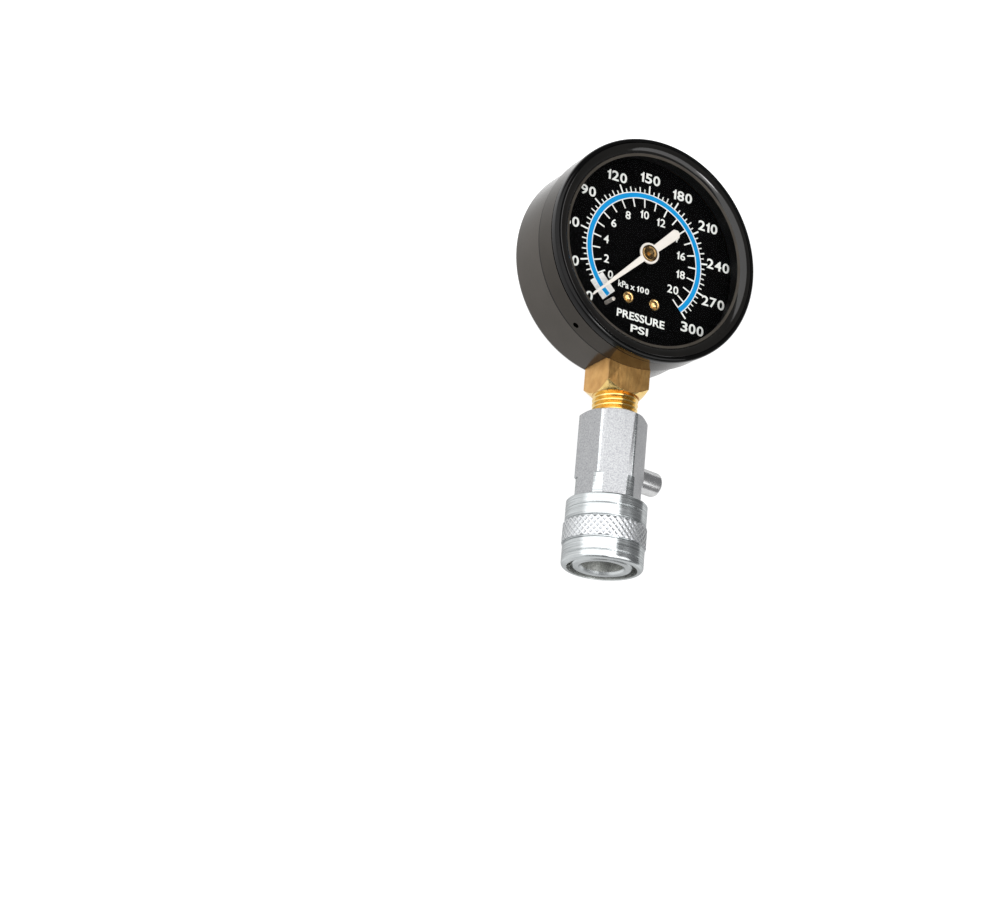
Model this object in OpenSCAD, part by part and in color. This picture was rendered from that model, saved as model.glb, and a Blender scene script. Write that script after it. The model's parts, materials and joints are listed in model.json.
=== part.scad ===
// Engine compression tester gauge: a 63 mm dial gauge with a brass socket,
// screwed into a quick coupler that has a sliding sleeve and a bleed button.
// Millimetres. Z is the dial's normal, +Y points at the dial's 12 o'clock,
// and the origin is the centre of the case's flat back.
// The stem runs along -Y, at the height stem_z above the back.

/* [Case] */
// Outer radius of the rear cup
case_r = 33.3; // [31:0.1:37]
// Wall of the cup
case_wall = 1; // [0.8:0.05:1.3]
// Thickness of the cup's back
back_wall = 1.2; // [0.8:0.1:1.6]
// Rounding of the cup's rear edge
case_edge = 2.5; // [1.5:0.1:3]
// How far the cup's neck steps in under the band
neck_step = 0.55; // [0.3:0.05:0.8]
// Wall of the front band
band_wall = 1.35; // [0.9:0.05:1.6]
// Radius of the lock hole in the band
lock_hole_r = 0.95; // [0.5:0.05:1.2]
// Place of the lock hole round the band, in degrees from +X
lock_hole_at = 233; // [215:1:245]

/* [Bezel and lens] */
// How far the bezel stands out past the band
bezel_lip = 0.25; // [0.1:0.05:0.8]
// Height of the bezel's outer wall
bezel_h = 3.1; // [2.6:0.1:4]
// Rounding of the bezel's outer rim
bezel_edge = 1.1; // [0.5:0.1:1.3]
// Width of the bezel's outer rim, rounding included
rim_w = 1.45; // [1.35:0.05:1.6]
// Depth of the groove between the rim and the round bead
groove_depth = 0.4; // [0.2:0.05:0.6]
// Width of the bead's slope towards the lens
bead_w = 2.15; // [1.6:0.05:2.3]
// Wall of the bezel's skirt inside the band
skirt_wall = 1.55; // [1.2:0.05:1.9]
// Thickness of the lens
lens_t = 1; // [0.8:0.05:1.2]
// Shoulder between the skirt's bore and the lens pocket
lens_shoulder = 0.5; // [0.3:0.05:0.8]
// Width of the bezel's land over the lens
lens_land = 0.7; // [0.5:0.05:0.9]
// How far the thin lip inside the bead reaches over the lens
lens_lip = 0.8; // [0.4:0.05:0.9]
// Wall of the ring that holds the lens from behind
lens_ring_wall = 0.9; // [0.6:0.05:1.1]

/* [Dial and pointer] */
// Thickness of the dial plate
dial_t = 0.6; // [0.4:0.05:0.9]
// Gap between the dial's edge and the cup's neck
dial_gap = 1.55; // [0.8:0.05:2.2]
// Half the distance between the dial screws
dial_screw_x = 4.5; // [3.6:0.1:5.5]
// Distance of the dial screws below the centre
dial_screw_y = 14.35; // [13:0.05:15]
// Shank radius of the dial screws
dial_screw_r = 0.95; // [0.7:0.05:1.1]
// Head radius of the dial screws
dial_head_r = 1.8; // [1.5:0.05:2.1]
// Distance of the stop pin from the centre
stop_pin_at = 21.5; // [20.5:0.1:23]
// Radius of the stop pin
stop_pin_r = 0.6; // [0.4:0.05:0.8]
// Height of the pointer above the dial
pointer_lift = 2.5; // [1.8:0.1:3.2]
// Thickness of the pointer
pointer_t = 0.5; // [0.3:0.05:0.7]
// Length of the pointer's needle
needle_l = 25.5; // [23:0.1:26.5]
// Length of the pointer's tail
tail_l = 13.4; // [9:0.1:14.5]
// Radius of the pointer's hub
hub_r = 3.25; // [3:0.05:3.8]
// Radius of the brass bush's domed head
bush_r = 2.6; // [2.2:0.05:2.8]
// Height of the bush's dome
bush_dome = 0.7; // [0.4:0.05:1]

/* [Movement] */
// Gear module
gear_module = 0.3; // [0.28:0.005:0.32]
// Teeth on the pinion
pinion_teeth = 10; // [10:1:12]
// Teeth that the sector's whole circle would have
sector_teeth = 80; // [76:2:84]
// Radius of the pinion arbor
arbor_r = 0.6; // [0.45:0.05:0.7]
// Radius of the sector arbor
sector_arbor_r = 0.7; // [0.5:0.05:0.9]
// Thickness of the sector
sector_t = 1; // [0.7:0.05:1.3]
// Length of the sector's tail arm
tail_arm = 5; // [4.6:0.1:5.4]
// Thickness of the movement plates
plate_t = 1; // [0.8:0.05:1.3]
// Distance between the movement plates
pillar_h = 7.5; // [7.2:0.1:8.2]
// Radius of the pillars
pillar_r = 1.3; // [1.1:0.05:1.5]
// Height of the dial posts above the front plate
post_h = 3.4; // [2.6:0.1:4]
// Radius of the pins that the link turns on
link_pin_r = 0.65; // [0.5:0.05:0.75]
// Thickness of the link
link_t = 0.8; // [0.5:0.05:1]
// Width of the hairspring's strip
hair_w = 1; // [0.7:0.05:1.2]

/* [Bourdon tube] */
// Distance between the tube's bend and the inside of the case
tube_room = 7.8; // [7:0.1:8.5]
// Width of the tube's flattened section, along Z
tube_w = 10; // [8:0.1:10.6]
// Thickness of the tube's flattened section
tube_h = 3.6; // [3:0.1:4]
// Wall of the tube
tube_wall = 0.5; // [0.3:0.05:0.7]

/* [Socket] */
// Height of the stem's axis above the back
stem_z = 9.7; // [9.2:0.1:10.6]
// Square of the wrench block, across flats
block_w = 14; // [13:0.1:14.6]
// Length of the wrench block outside the case
block_out = 8.6; // [8:0.1:12]
// Length of the cone that takes the block's corners off
block_cone = 2.5; // [1.5:0.1:3]
// Crest radius of the pipe thread at its large end
thread_r = 6.85; // [6.2:0.05:6.95]
// Pitch of the pipe thread
thread_pitch = 1.411; // [1.2:0.01:1.6]
// Depth of the pipe thread
thread_depth = 1; // [0.6:0.05:1.1]
// Length of thread between the block and the coupler
thread_show = 6.1; // [3.5:0.1:8]
// Length of thread inside the coupler
thread_in = 8.5; // [7:0.1:10]
// Radius of the pressure port
port_r = 2; // [1.5:0.1:2.3]
// Shank radius of the screws that hold the socket to the case
case_screw_r = 1.5; // [1.2:0.05:1.6]

/* [Coupler] */
// Hexagon across flats
hex_af = 18; // [17.4:0.1:19]
// How much is turned off the hexagon's sharp corners
corner_off = 0.2; // [0.1:0.05:0.4]
// Turn of the hexagon's corner from the front, in degrees
hex_turn = 10.7; // [0:0.1:25]
// Length of the full hexagon
hex_len = 20.2; // [18.5:0.1:24]
// Length of the hexagon with its corners turned down
relief_len = 7.3; // [6.5:0.1:9]
// Radius left on the turned corners, past the flats
relief_over = 0.65; // [0.5:0.05:0.8]
// Length of the round nose
nose_len = 18.9; // [18:0.1:21]
// Radius of the air passage
passage_r = 2.5; // [2.3:0.05:2.8]
// Bore that seals on the plug's tip
seal_bore_r = 4.05; // [3.6:0.05:4.2]
// Length of the seal bore
seal_bore_len = 8.5; // [6:0.1:9]
// Radius of the mouth that takes the plug's body
mouth_r = 6.05; // [5.95:0.05:6.5]
// Depth of the mouth
mouth_depth = 13.9; // [13:0.1:15]
// Radius of the locking balls
ball_r = 1.6; // [1.4:0.05:1.7]
// Number of locking balls
ball_count = 4; // [3:1:6]
// Distance of the balls from the nose's end
ball_in = 7.4; // [7:0.1:8]

/* [Sleeve] */
// Wall of the sleeve over the turned corners
sleeve_wall = 2; // [1.6:0.05:2.6]
// How far the knurled band stands out
knurl_rise = 0.35; // [0.2:0.05:0.6]
// Length of the knurled band
knurl_len = 5.8; // [4.5:0.1:6.5]
// How far the sleeve's mouth stands past the nose
sleeve_lip = 0.3; // [0.2:0.05:1]
// Wall of the sleeve at its mouth
mouth_wall = 1.6; // [1.2:0.05:1.7]
// Rounding of the sleeve's mouth
mouth_edge = 1.2; // [0.6:0.1:1.3]
// Wire of the sleeve's spring
sleeve_wire = 0.7; // [0.5:0.05:0.75]

/* [Bleed valve] */
// Radius of the bleed button
button_r = 3.65; // [3.3:0.05:4]
// How far the button stands out of the flat
button_out = 9.1; // [7:0.1:11]
// Rounding of the button's edge
button_edge = 1; // [0.4:0.1:1.2]
// Distance of the button's axis from the end of the full hexagon
button_back = 4.1; // [4.1:0.1:6]
// Length of the spring under the button
bleed_spring_l = 3.2; // [3:0.1:3.6]
// Radius of the poppet's stem
poppet_r = 1; // [0.8:0.05:1.1]
// Radius of the poppet's head
poppet_head_r = 1.9; // [1.6:0.05:2]

/* [Hidden] */
$fn = 96;

// Clearances: running fits, assembled fits and free air
run = 0.05;
fit = 0.05;
loose = 0.3;
cut = 1;

// Heights of the movement, counted up from the stem's axis
plate_drop = 3.2;
back_plate_z = stem_z - plate_drop;
pillar_z = back_plate_z + plate_t;
front_plate_z = pillar_z + pillar_h;
post_z = front_plate_z + plate_t;
dial_z = post_z + post_h;
dial_top = dial_z + dial_t;
sector_rise = 2.5;
sector_z = pillar_z + sector_rise;
link_z = sector_z + sector_t + loose;
link_pin_top = link_z + link_t + loose;
hair_drop = 0.5;
hair_z = front_plate_z - hair_drop - hair_w;

// Heights of the case, counted up from the pointer under the lens
pointer_z = dial_top + pointer_lift;
bush_seat = pointer_z + pointer_t;
lens_room = 0.9;
lens_z = bush_seat + bush_dome + lens_room;
lens_top = lens_z + lens_t;
seam_z = stem_z + block_w / 2 + fit;
neck_gap = 0.1;
neck_top = dial_z - neck_gap;
bezel_drop = 0.5;
bezel_z = lens_z - bezel_drop;
bezel_top = bezel_z + bezel_h;
band_gap = 0.4;
band_top = bezel_z - band_gap;

// Radii of the case, counted in from the cup
cup_in = case_r - case_wall;
neck_r = case_r - neck_step;
neck_in = neck_r - case_wall;
band_in = neck_r + fit;
band_r = band_in + band_wall;
bezel_r = band_r + bezel_lip;
skirt_r = band_in - fit;
skirt_in = skirt_r - skirt_wall;
lens_pocket_r = skirt_in - lens_shoulder;
lens_r = lens_pocket_r - 2 * fit;
window_r = lens_pocket_r - lens_land;
lip_r = window_r - lens_lip;
lip_t = 0.12;
lens_ring_r = skirt_in - fit;

// Bezel: an outer rim, a groove, and a round bead that slopes down to the lens
rim_in = bezel_r - rim_w;
rim_foot = 0.4;
groove_w = 0.1;
bead_drop = 0.1;
bead_land = 0.28;
bead_top = bezel_top - bead_drop;
bead_fall = bead_top - lens_top - bead_land;
bead_r = (bead_w * bead_w + bead_fall * bead_fall) / (2 * bead_fall);
bead_c = [window_r + bead_w, bead_top - bead_r];
bead_from = acos((rim_in - groove_w - bead_c[0]) / bead_r);
bead_to = 180 - acos(bead_w / bead_r);

// Dial, and the lock hole in the band
dial_r = neck_in - dial_gap;
lock_hole_rise = 2.2;

// Bourdon tube, and the block that its open end is brazed into
tube_r = cup_in - tube_room;
tube_seat = 1.9;
tube_seat_sweep = 12;
tube_start = 180 + acos((block_w / 2 - tube_seat) / tube_r);
socket_inset = 4.5;
socket_in = tube_r - socket_inset;
block_low = stem_z - block_w / 2;
block_corner_r = block_w / sqrt(2) + run;
block_end = case_r + block_out;
foot_end = case_r - case_edge - 1.3;
lug_w = 11;
lug_in = socket_in - 4.5;
case_screw_x = 3.4;
case_screw_y = tube_r + 2.5;
case_screw_head_r = 2 * case_screw_r - 0.2;
case_screw_cone = 1.4;
case_screw_l = 5.5;
port_cross_r = 1.2;
port_cross_at = tube_r * [cos(tube_start), sin(tube_start)];
port_end = -port_cross_at[1] - port_r;

// Gear train: the sector's pivot sits below right of the pinion
pinion_pitch_r = gear_module * pinion_teeth / 2;
sector_pitch_r = gear_module * sector_teeth / 2;
pivot_at = -60;
pivot_d = pinion_pitch_r + sector_pitch_r;
pivot = pivot_d * [cos(pivot_at), sin(pivot_at)];
tooth_pitch = gear_module * 180 / PI;
pointer_sweep = 270;
sector_sweep = pointer_sweep * pinion_teeth / sector_teeth;
sector_margin = 2;
arm_at = -90 - sector_sweep / 2;
arm_end = pivot + tail_arm * [cos(arm_at), sin(arm_at)];
tip_pin = [sqrt(tube_r * tube_r - arm_end[1] * arm_end[1]), arm_end[1]];
tip_lug_l = 2.1;
tip_cap_l = 2.6;
tip_plug_l = 1.3;
tip_gap = 0.15;
tip_cap_at = atan2(tip_pin[1], tip_pin[0]) + arc_of(tip_lug_l);
tube_end = tip_cap_at + arc_of(tip_cap_l + tip_gap);
tip_play = 0.35;
tip_pin_hole_r = link_pin_r + tip_play;

// Places of the pillars and screws in the movement
pillar_spots = [[-6, 6], [8, 6], [-9, -13]];
plate_margin = 2.2;
plate_screw_x = 3.5;
plate_screw_y = socket_in - plate_margin - 0.2;
plate_screw_r = 1;
plate_screw_head_r = 1.6;
plate_screw_l = 3;
spigot_r = pillar_r - 0.5;
post_r = dial_screw_r + 0.85;
dial_screw_l = 2.8;
collet_r = 1.5;

// Stations along the stem, counted from the dial's centre
hex_s = block_end + thread_show;
relief_s = hex_s + hex_len;
shoulder_s = relief_s + relief_len;
nose_s = shoulder_s + nose_len;
thread_end = hex_s + thread_in;
taper = 1 / 32;
bore_end = thread_end + thread_pitch;
mouth_s = nose_s - mouth_depth;
seal_s = mouth_s - seal_bore_len;
ball_s = nose_s - ball_in;
button_s = relief_s - button_back;

// Radii of the coupler, counted from the hexagon's flats
flat_r = hex_af / 2;
corner_r = hex_af / sqrt(3) - corner_off;
chamfer_in = 0.5;
chamfer_rise = (corner_r - flat_r + chamfer_in) * tan(30);
relief_r = flat_r + relief_over;
nose_r = flat_r - 0.1;
ball_hole_r = ball_r + 0.08;
ball_at = nose_r - ball_r - 0.15;
snap_groove = 0.6;
snap_t = 1;
plug_seal_wire = 0.8;
plug_seal_r = (mouth_r + seal_bore_r) / 2 + 0.05;

// Sleeve: its land holds the balls in, and its recess lets them out
sleeve_bore = relief_r + loose - run;
sleeve_r = sleeve_bore + sleeve_wall;
knurl_r = sleeve_r + knurl_rise;
sleeve_mouth_r = sleeve_r - mouth_wall;
sleeve_cover = 0.6;
sleeve_s = shoulder_s - sleeve_cover;
sleeve_end = nose_s + sleeve_lip;
land_r = nose_r + run;
land_s = ball_s - 3;
land_end = ball_s + 2.5;
snap_s = land_end + loose;
snap_r = nose_r + 1;
knurl_s = land_s - 1.9;
knurl_end = knurl_s + knurl_len;
sleeve_edge = 0.8;
sleeve_line = 0.25;

// Bleed valve, along the radius of one flat
bleed_floor = passage_r + 1.9;
button_hole_r = button_r + run + 0.02;
button_in = bleed_floor + bleed_spring_l;
button_tip = flat_r + button_out;
poppet_hole_r = poppet_r + 0.2;
poppet_head_t = 0.8;
poppet_head_top = 1.3;
poppet_grip = 3.4;
bleed_wire = 0.45;
bleed_spring_r = button_r - 1.05;

// Angle that a length along the tube's bend takes up, in degrees
function arc_of(length) = length / tube_r * 180 / PI;

// Points on an arc about c, from angle a to angle b
function arc(c, r, a, b, n = 6) =
  [for (i = [0:n]) let (t = a + (b - a) * i / n) c + r * [cos(t), sin(t)]];

// Points of a flattened tube's oval section, w tall and h thick
function oval(h, w, n = 24) =
  [for (i = [0:n - 1]) [h / 2 * cos(360 * i / n), w / 2 * sin(360 * i / n)]];

// One gear tooth, centred on angle a: root, flank and tip
function tooth(pitch_r, a) =
  let (
    root = pitch_r - 1.25 * gear_module,
    tip = pitch_r + 0.75 * gear_module,
    wide = 0.72 * gear_module / root,
    mid = 0.62 * gear_module / pitch_r,
    thin = 0.3 * gear_module / tip,
    deg = 180 / PI
  )
  [
    for (p = [[root, -wide], [pitch_r, -mid], [tip, -thin], [tip, thin], [pitch_r, mid], [root, wide]])
      p[0] * [cos(a + p[1] * deg), sin(a + p[1] * deg)]
  ];

// Joins a list of lists of points into one list
function joined(lists) = [for (l = lists) for (p = l) p];

// Puts a child on the stem, with its own z along the stem and its y to the front
module along_stem(s = 0) {
  translate([0, 0, stem_z])
    rotate([90, 0, 0])
      translate([0, 0, s])
        children();
}

// Puts a child on the bleed valve, with its own z out of the hexagon's flat
module along_button() {
  along_stem(button_s)
    rotate([0, 0, -hex_turn])
      rotate([0, 90, 0])
        children();
}

// A straight tube that stands on z
module tube(r, bore, z, h) {
  translate([0, 0, z])
    difference() {
      cylinder(r = r, h = h);
      translate([0, 0, -cut])
        cylinder(r = bore, h = h + 2 * cut);
    }
}

// A drill of radius r through everything between z and z + h
module drill(p, r, z, h) {
  translate([p[0], p[1], z - cut])
    cylinder(r = r, h = h + 2 * cut);
}

// A round wire coil along z, with its wire inside the height h
module coil(r, wire, h, turns, steps = 18, sides = 6) {
  n = turns * steps;
  rise = h - wire;
  lead = atan2(rise, 2 * PI * r * turns);
  points = [
    for (i = [0:n]) for (j = [0:sides - 1])
      let (
        a = 360 * i / steps,
        b = 360 * j / sides,
        out = r + wire / 2 * cos(b),
        side = wire / 2 * sin(b)
      )
      [
        out * cos(a) + side * sin(lead) * sin(a),
        out * sin(a) - side * sin(lead) * cos(a),
        wire / 2 + rise * i / n + side * cos(lead)
      ]
  ];
  skin = [
    for (i = [0:n - 1]) for (j = [0:sides - 1])
      let (a = i * sides, k = (j + 1) % sides)
      [a + j, a + sides + j, a + sides + k, a + k]
  ];
  ends = [[for (j = [0:sides - 1]) j], [for (j = [0:sides - 1]) (n + 1) * sides - 1 - j]];
  polyhedron(points, concat(skin, ends), convexity = 10);
}

// Case

module stem_window() {
  w = block_w + 2 * fit;
  translate([-w / 2, -case_r - cut, block_low - fit])
    cube([w, case_r - cup_in + neck_step + 2 * cut + case_wall, w]);
}

module case_cup() {
  inner_edge = case_edge - back_wall;
  color([0.16, 0.16, 0.16])
    difference() {
      rotate_extrude()
        polygon(concat(
          [[0, 0]],
          arc([case_r - case_edge, case_edge], case_edge, -90, 0),
          [[case_r, seam_z], [neck_r, seam_z], [neck_r, neck_top], [neck_in, neck_top]],
          [[neck_in, seam_z - case_wall], [cup_in, seam_z - case_wall - neck_step]],
          arc([cup_in - inner_edge, back_wall + inner_edge], inner_edge, 0, -90),
          [[0, back_wall]]
        ));
      stem_window();
      for (x = [-case_screw_x, case_screw_x])
        translate([x, -case_screw_y, 0])
          screw_cone(fit);
    }
}

module case_band() {
  color([0.17, 0.17, 0.17])
    difference() {
      tube(band_r, band_in, seam_z + fit, band_top - seam_z - fit);
      rotate([0, 0, lock_hole_at])
        translate([band_in - cut, 0, seam_z + lock_hole_rise])
          rotate([0, 90, 0])
            cylinder(r = lock_hole_r, h = band_wall + 2 * cut);
    }
}

module bezel() {
  color([0.03, 0.03, 0.03])
    rotate_extrude()
      polygon(concat(
        [[skirt_in, neck_top + loose], [skirt_r, neck_top + loose], [skirt_r, bezel_z]],
        [[bezel_r - rim_foot, bezel_z], [bezel_r, bezel_z + rim_foot]],
        arc([bezel_r - bezel_edge, bezel_top - bezel_edge], bezel_edge, 0, 90),
        [[rim_in, bezel_top - groove_depth]],
        arc(bead_c, bead_r, bead_from, bead_to, 10),
        [[lip_r, lens_top + lip_t], [lip_r, lens_top], [lens_pocket_r, lens_top]],
        [[lens_pocket_r, lens_z], [skirt_in, lens_z]]
      ));
}

module lens() {
  color([0.9, 0.95, 1, 0.25])
    translate([0, 0, lens_z])
      cylinder(r = lens_r, h = lens_t);
}

module lens_ring() {
  low = dial_top + loose;
  color([0.05, 0.05, 0.05])
    tube(lens_ring_r, lens_ring_r - lens_ring_wall, low, lens_z - low);
}

// Dial

module at_dial_screws() {
  for (x = [-dial_screw_x, dial_screw_x])
    translate([x, -dial_screw_y, 0])
      children();
}

module at_stop_pin() {
  rotate([0, 0, stop_pin_angle])
    translate([stop_pin_at, 0, 0])
      children();
}

// The pointer rests at zero, and the pin stops it a little below zero
pointer_zero = 225;
stop_pin_angle = pointer_zero + 12;

module dial() {
  color([0.04, 0.04, 0.04])
    difference() {
      translate([0, 0, dial_z])
        cylinder(r = dial_r, h = dial_t);
      drill([0, 0], bush_r - 0.4, dial_z, dial_t);
      at_dial_screws()
        drill([0, 0], dial_screw_r + fit, dial_z, dial_t);
      at_stop_pin()
        drill([0, 0], stop_pin_r + fit, dial_z, dial_t);
    }
}

module dial_screws() {
  dome = 1;
  skirt = 0.35;
  slot_w = 0.5;
  color([0.8, 0.6, 0.25])
    at_dial_screws()
      translate([0, 0, dial_top])
        difference() {
          union() {
            translate([0, 0, -dial_t - dial_screw_l])
              cylinder(r = dial_screw_r, h = dial_t + dial_screw_l + skirt);
            rotate_extrude()
              polygon(concat(
                [[0, 0], [dial_head_r, 0], [dial_head_r, skirt]],
                [for (t = [15:15:75]) [dial_head_r * cos(t), skirt + (dome - skirt) * sin(t)]],
                [[0, dome]]
              ));
          }
          translate([-dial_head_r - cut, -slot_w / 2, dome - slot_w])
            cube([2 * dial_head_r + 2 * cut, slot_w, slot_w + cut]);
        }
}

module stop_pin() {
  color([0.7, 0.65, 0.5])
    at_stop_pin()
      translate([0, 0, dial_z])
        cylinder(r = stop_pin_r, h = lens_z - loose - dial_z);
}

// Pointer

module pointer() {
  base = 1.1;
  tip = 0.25;
  tail_end = 1.5;
  corner = 1;
  color([0.93, 0.9, 0.84])
    rotate([0, 0, pointer_zero])
      translate([0, 0, pointer_z])
        linear_extrude(pointer_t)
          difference() {
            union() {
              circle(r = hub_r);
              polygon([
                [0, base], [-tail_l + corner, tail_end], [-tail_l, tail_end - corner],
                [-tail_l, corner - tail_end], [-tail_l + corner, -tail_end], [0, -base],
                [needle_l - tip, -tip], [needle_l, 0], [needle_l - tip, tip]
              ]);
            }
            circle(r = bush_neck_r + fit);
          }
}

bush_neck_r = 1.6;
bush_collar_r = bush_r - 0.6;
bush_collar_t = 0.7;

module pointer_bush() {
  low = dial_top + loose;
  color([0.72, 0.55, 0.28])
    difference() {
      rotate_extrude()
        polygon(concat(
          [[0, low], [bush_neck_r, low], [bush_neck_r, pointer_z - bush_collar_t]],
          [[bush_collar_r, pointer_z - bush_collar_t], [bush_collar_r, pointer_z]],
          [[bush_neck_r, pointer_z], [bush_neck_r, bush_seat]],
          [for (t = [0:15:75]) [bush_r * cos(t), bush_seat + bush_dome * sin(t)]],
          [[0, bush_seat + bush_dome]]
        ));
      drill([0, 0], arbor_r + fit, low, bush_seat + bush_dome - low);
    }
}

module pinion_arbor() {
  teeth = [for (i = [0:pinion_teeth - 1]) tooth(pinion_pitch_r, pivot_at + 360 / pinion_teeth * i)];
  color([0.75, 0.7, 0.55])
    union() {
      translate([0, 0, back_plate_z])
        cylinder(r = arbor_r, h = bush_seat + bush_dome - back_plate_z);
      translate([0, 0, sector_z - loose])
        linear_extrude(sector_t + 2 * loose)
          polygon(joined(teeth));
      translate([0, 0, hair_z - run])
        cylinder(r = collet_r, h = hair_w + 2 * run);
    }
}

module hairspring() {
  strip = 0.15;
  turns = 4;
  steps = 26;
  inner = collet_r + 0.1;
  end = norm(pillar_spots[0]) - pillar_r - 0.1;
  end_at = atan2(pillar_spots[0][1], pillar_spots[0][0]);
  n = turns * steps;
  function spiral(i, side) =
    (inner + (end - inner - strip) * i / n + side) * [cos(end_at - 360 * (n - i) / steps), sin(end_at - 360 * (n - i) / steps)];
  color([0.8, 0.6, 0.35])
    translate([0, 0, hair_z])
      linear_extrude(hair_w)
        polygon(concat([for (i = [0:n]) spiral(i, 0)], [for (i = [n:-1:0]) spiral(i, strip)]));
}

// Movement

module at_plate_screws() {
  for (x = [-plate_screw_x, plate_screw_x])
    translate([x, -plate_screw_y, 0])
      children();
}

// A plate whose outline runs round its pillars, the sector's pivot and two lower points
module movement_plate(z, lower) {
  m = plate_margin;
  translate([0, 0, z])
    difference() {
      linear_extrude(plate_t)
        polygon([
          pillar_spots[0] + [-m, m], pillar_spots[1] + [m, m], pivot + [m, -m],
          [lower[0] + m, -lower[1] - m], [-lower[0] - m, -lower[1] - m], pillar_spots[2] + [-m, -m]
        ]);
      drill([0, 0], arbor_r + run, 0, plate_t);
      drill(pivot, sector_arbor_r + run, 0, plate_t);
      for (p = pillar_spots)
        drill(p, spigot_r + fit, 0, plate_t);
    }
}

module back_plate() {
  color([0.78, 0.6, 0.3])
    difference() {
      movement_plate(back_plate_z, [plate_screw_x, plate_screw_y]);
      at_plate_screws()
        drill([0, 0], plate_screw_r + fit, back_plate_z, plate_t);
    }
}

module front_plate() {
  color([0.78, 0.6, 0.3])
    difference() {
      union() {
        movement_plate(front_plate_z, [dial_screw_x, dial_screw_y]);
        at_dial_screws()
          translate([0, 0, front_plate_z])
            cylinder(r = post_r, h = plate_t + post_h);
      }
      at_dial_screws()
        drill([0, 0], dial_screw_r + fit, front_plate_z, plate_t + post_h);
    }
}

module pillars() {
  color([0.72, 0.55, 0.28])
    for (p = pillar_spots)
      translate([p[0], p[1], back_plate_z]) {
        cylinder(r = spigot_r, h = pillar_h + 2 * plate_t);
        translate([0, 0, plate_t])
          cylinder(r = pillar_r, h = pillar_h);
      }
}

module movement_screws() {
  head = 1;
  color([0.6, 0.6, 0.62])
    at_plate_screws()
      translate([0, 0, pillar_z]) {
        translate([0, 0, -plate_t - plate_screw_l])
          cylinder(r = plate_screw_r, h = plate_t + plate_screw_l + head / 2);
        cylinder(r = plate_screw_head_r, h = head);
      }
}

module sector_gear() {
  root = sector_pitch_r - 1.25 * gear_module;
  rim = 2;
  hub = 2.4;
  arm_w = 2.2;
  step = 360 / sector_teeth;
  mesh_at = pivot_at + 180;
  first = -floor((sector_sweep + 5) / step) - 0.5;
  a = mesh_at + first * step - sector_margin;
  b = mesh_at + 1.5 * step + sector_margin;
  teeth = [for (i = [first:1:1.5]) tooth(sector_pitch_r, mesh_at + i * step)];
  edge_a = [root * [cos(a), sin(a)]];
  edge_b = [root * [cos(b), sin(b)]];
  color([0.82, 0.65, 0.35])
    translate([pivot[0], pivot[1], sector_z])
      union() {
        linear_extrude(sector_t)
          difference() {
            union() {
              polygon(concat([[0, 0]], edge_a, joined(teeth), edge_b));
              circle(r = hub);
              rotate(arm_at)
                translate([0, -arm_w / 2])
                  square([tail_arm, arm_w]);
              translate(arm_end - pivot)
                circle(r = arm_w / 2 + 0.2);
            }
            polygon(concat(
              arc([0, 0], root - rim, a + 5, b - 5, 10),
              arc([0, 0], hub + 1.6, b - 9, a + 9, 4)
            ));
            circle(r = sector_arbor_r + fit);
          }
        translate([arm_end[0] - pivot[0], arm_end[1] - pivot[1], 0])
          cylinder(r = link_pin_r, h = link_pin_top - sector_z);
      }
}

module sector_arbor() {
  collar = 0.6;
  color([0.75, 0.75, 0.77])
    translate([pivot[0], pivot[1], 0]) {
      translate([0, 0, back_plate_z])
        cylinder(r = sector_arbor_r, h = pillar_h + 2 * plate_t);
      translate([0, 0, sector_z - collar])
        cylinder(r = sector_arbor_r + collar, h = collar);
    }
}

module link() {
  eye = link_pin_r + 0.7;
  far_eye = tip_pin_hole_r + 0.75;
  bar_w = 1.6;
  color([0.7, 0.7, 0.72])
    translate([arm_end[0], arm_end[1], link_z])
      linear_extrude(link_t)
        difference() {
          union() {
            circle(r = eye);
            translate([0, -bar_w / 2])
              square([tip_pin[0] - arm_end[0], bar_w]);
            translate(tip_pin - arm_end)
              circle(r = far_eye);
          }
          circle(r = link_pin_r + run);
          translate(tip_pin - arm_end)
            circle(r = tip_pin_hole_r);
        }
}

// Part of the tube's ring between two angles, with an oval section
module tube_ring(from, to, h, w) {
  rotate([0, 0, from])
    rotate_extrude(angle = to - from)
      translate([tube_r, stem_z])
        polygon(oval(h, w));
}

module bourdon_tube() {
  color([0.8, 0.58, 0.3])
    rotate([0, 0, tube_end])
      rotate_extrude(angle = tube_start - tube_end)
        translate([tube_r, stem_z])
          difference() {
            polygon(oval(tube_h, tube_w));
            polygon(oval(tube_h - 2 * tube_wall, tube_w - 2 * tube_wall));
          }
}

module tube_tip() {
  over = 0.8;
  plug_h = tube_h - 2 * tube_wall - 4 * fit;
  lug_t = 1.2;
  lug_r = link_pin_r + 1.1;
  lug_z = link_z - loose - lug_t;
  cap_mid = tip_cap_at + arc_of(tip_cap_l / 2);
  cap_at = tube_r * [cos(cap_mid), sin(cap_mid)];
  reach = cap_at - tip_pin;
  color([0.75, 0.56, 0.28])
    union() {
      tube_ring(tip_cap_at, tip_cap_at + arc_of(tip_cap_l), tube_h + over, tube_w + over);
      tube_ring(cap_mid, tube_end + arc_of(tip_plug_l), plug_h, tube_w - tube_h + plug_h);
      translate([tip_pin[0], tip_pin[1], lug_z]) {
        cylinder(r = lug_r, h = lug_t);
        rotate([0, 0, atan2(reach[1], reach[0])])
          translate([0, 0.3 - lug_r, 0])
            cube([norm(reach), 2 * lug_r - 0.6, lug_t]);
        cylinder(r = link_pin_r, h = link_pin_top - lug_z);
      }
    }
}

// Socket

// Countersunk head and shank of a case screw, from the back upwards
module screw_cone(gap) {
  translate([0, 0, -run])
    cylinder(r1 = case_screw_head_r + gap + run, r2 = case_screw_r + gap, h = case_screw_cone + run);
  cylinder(r = case_screw_r + gap, h = case_screw_l + gap);
}

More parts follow.
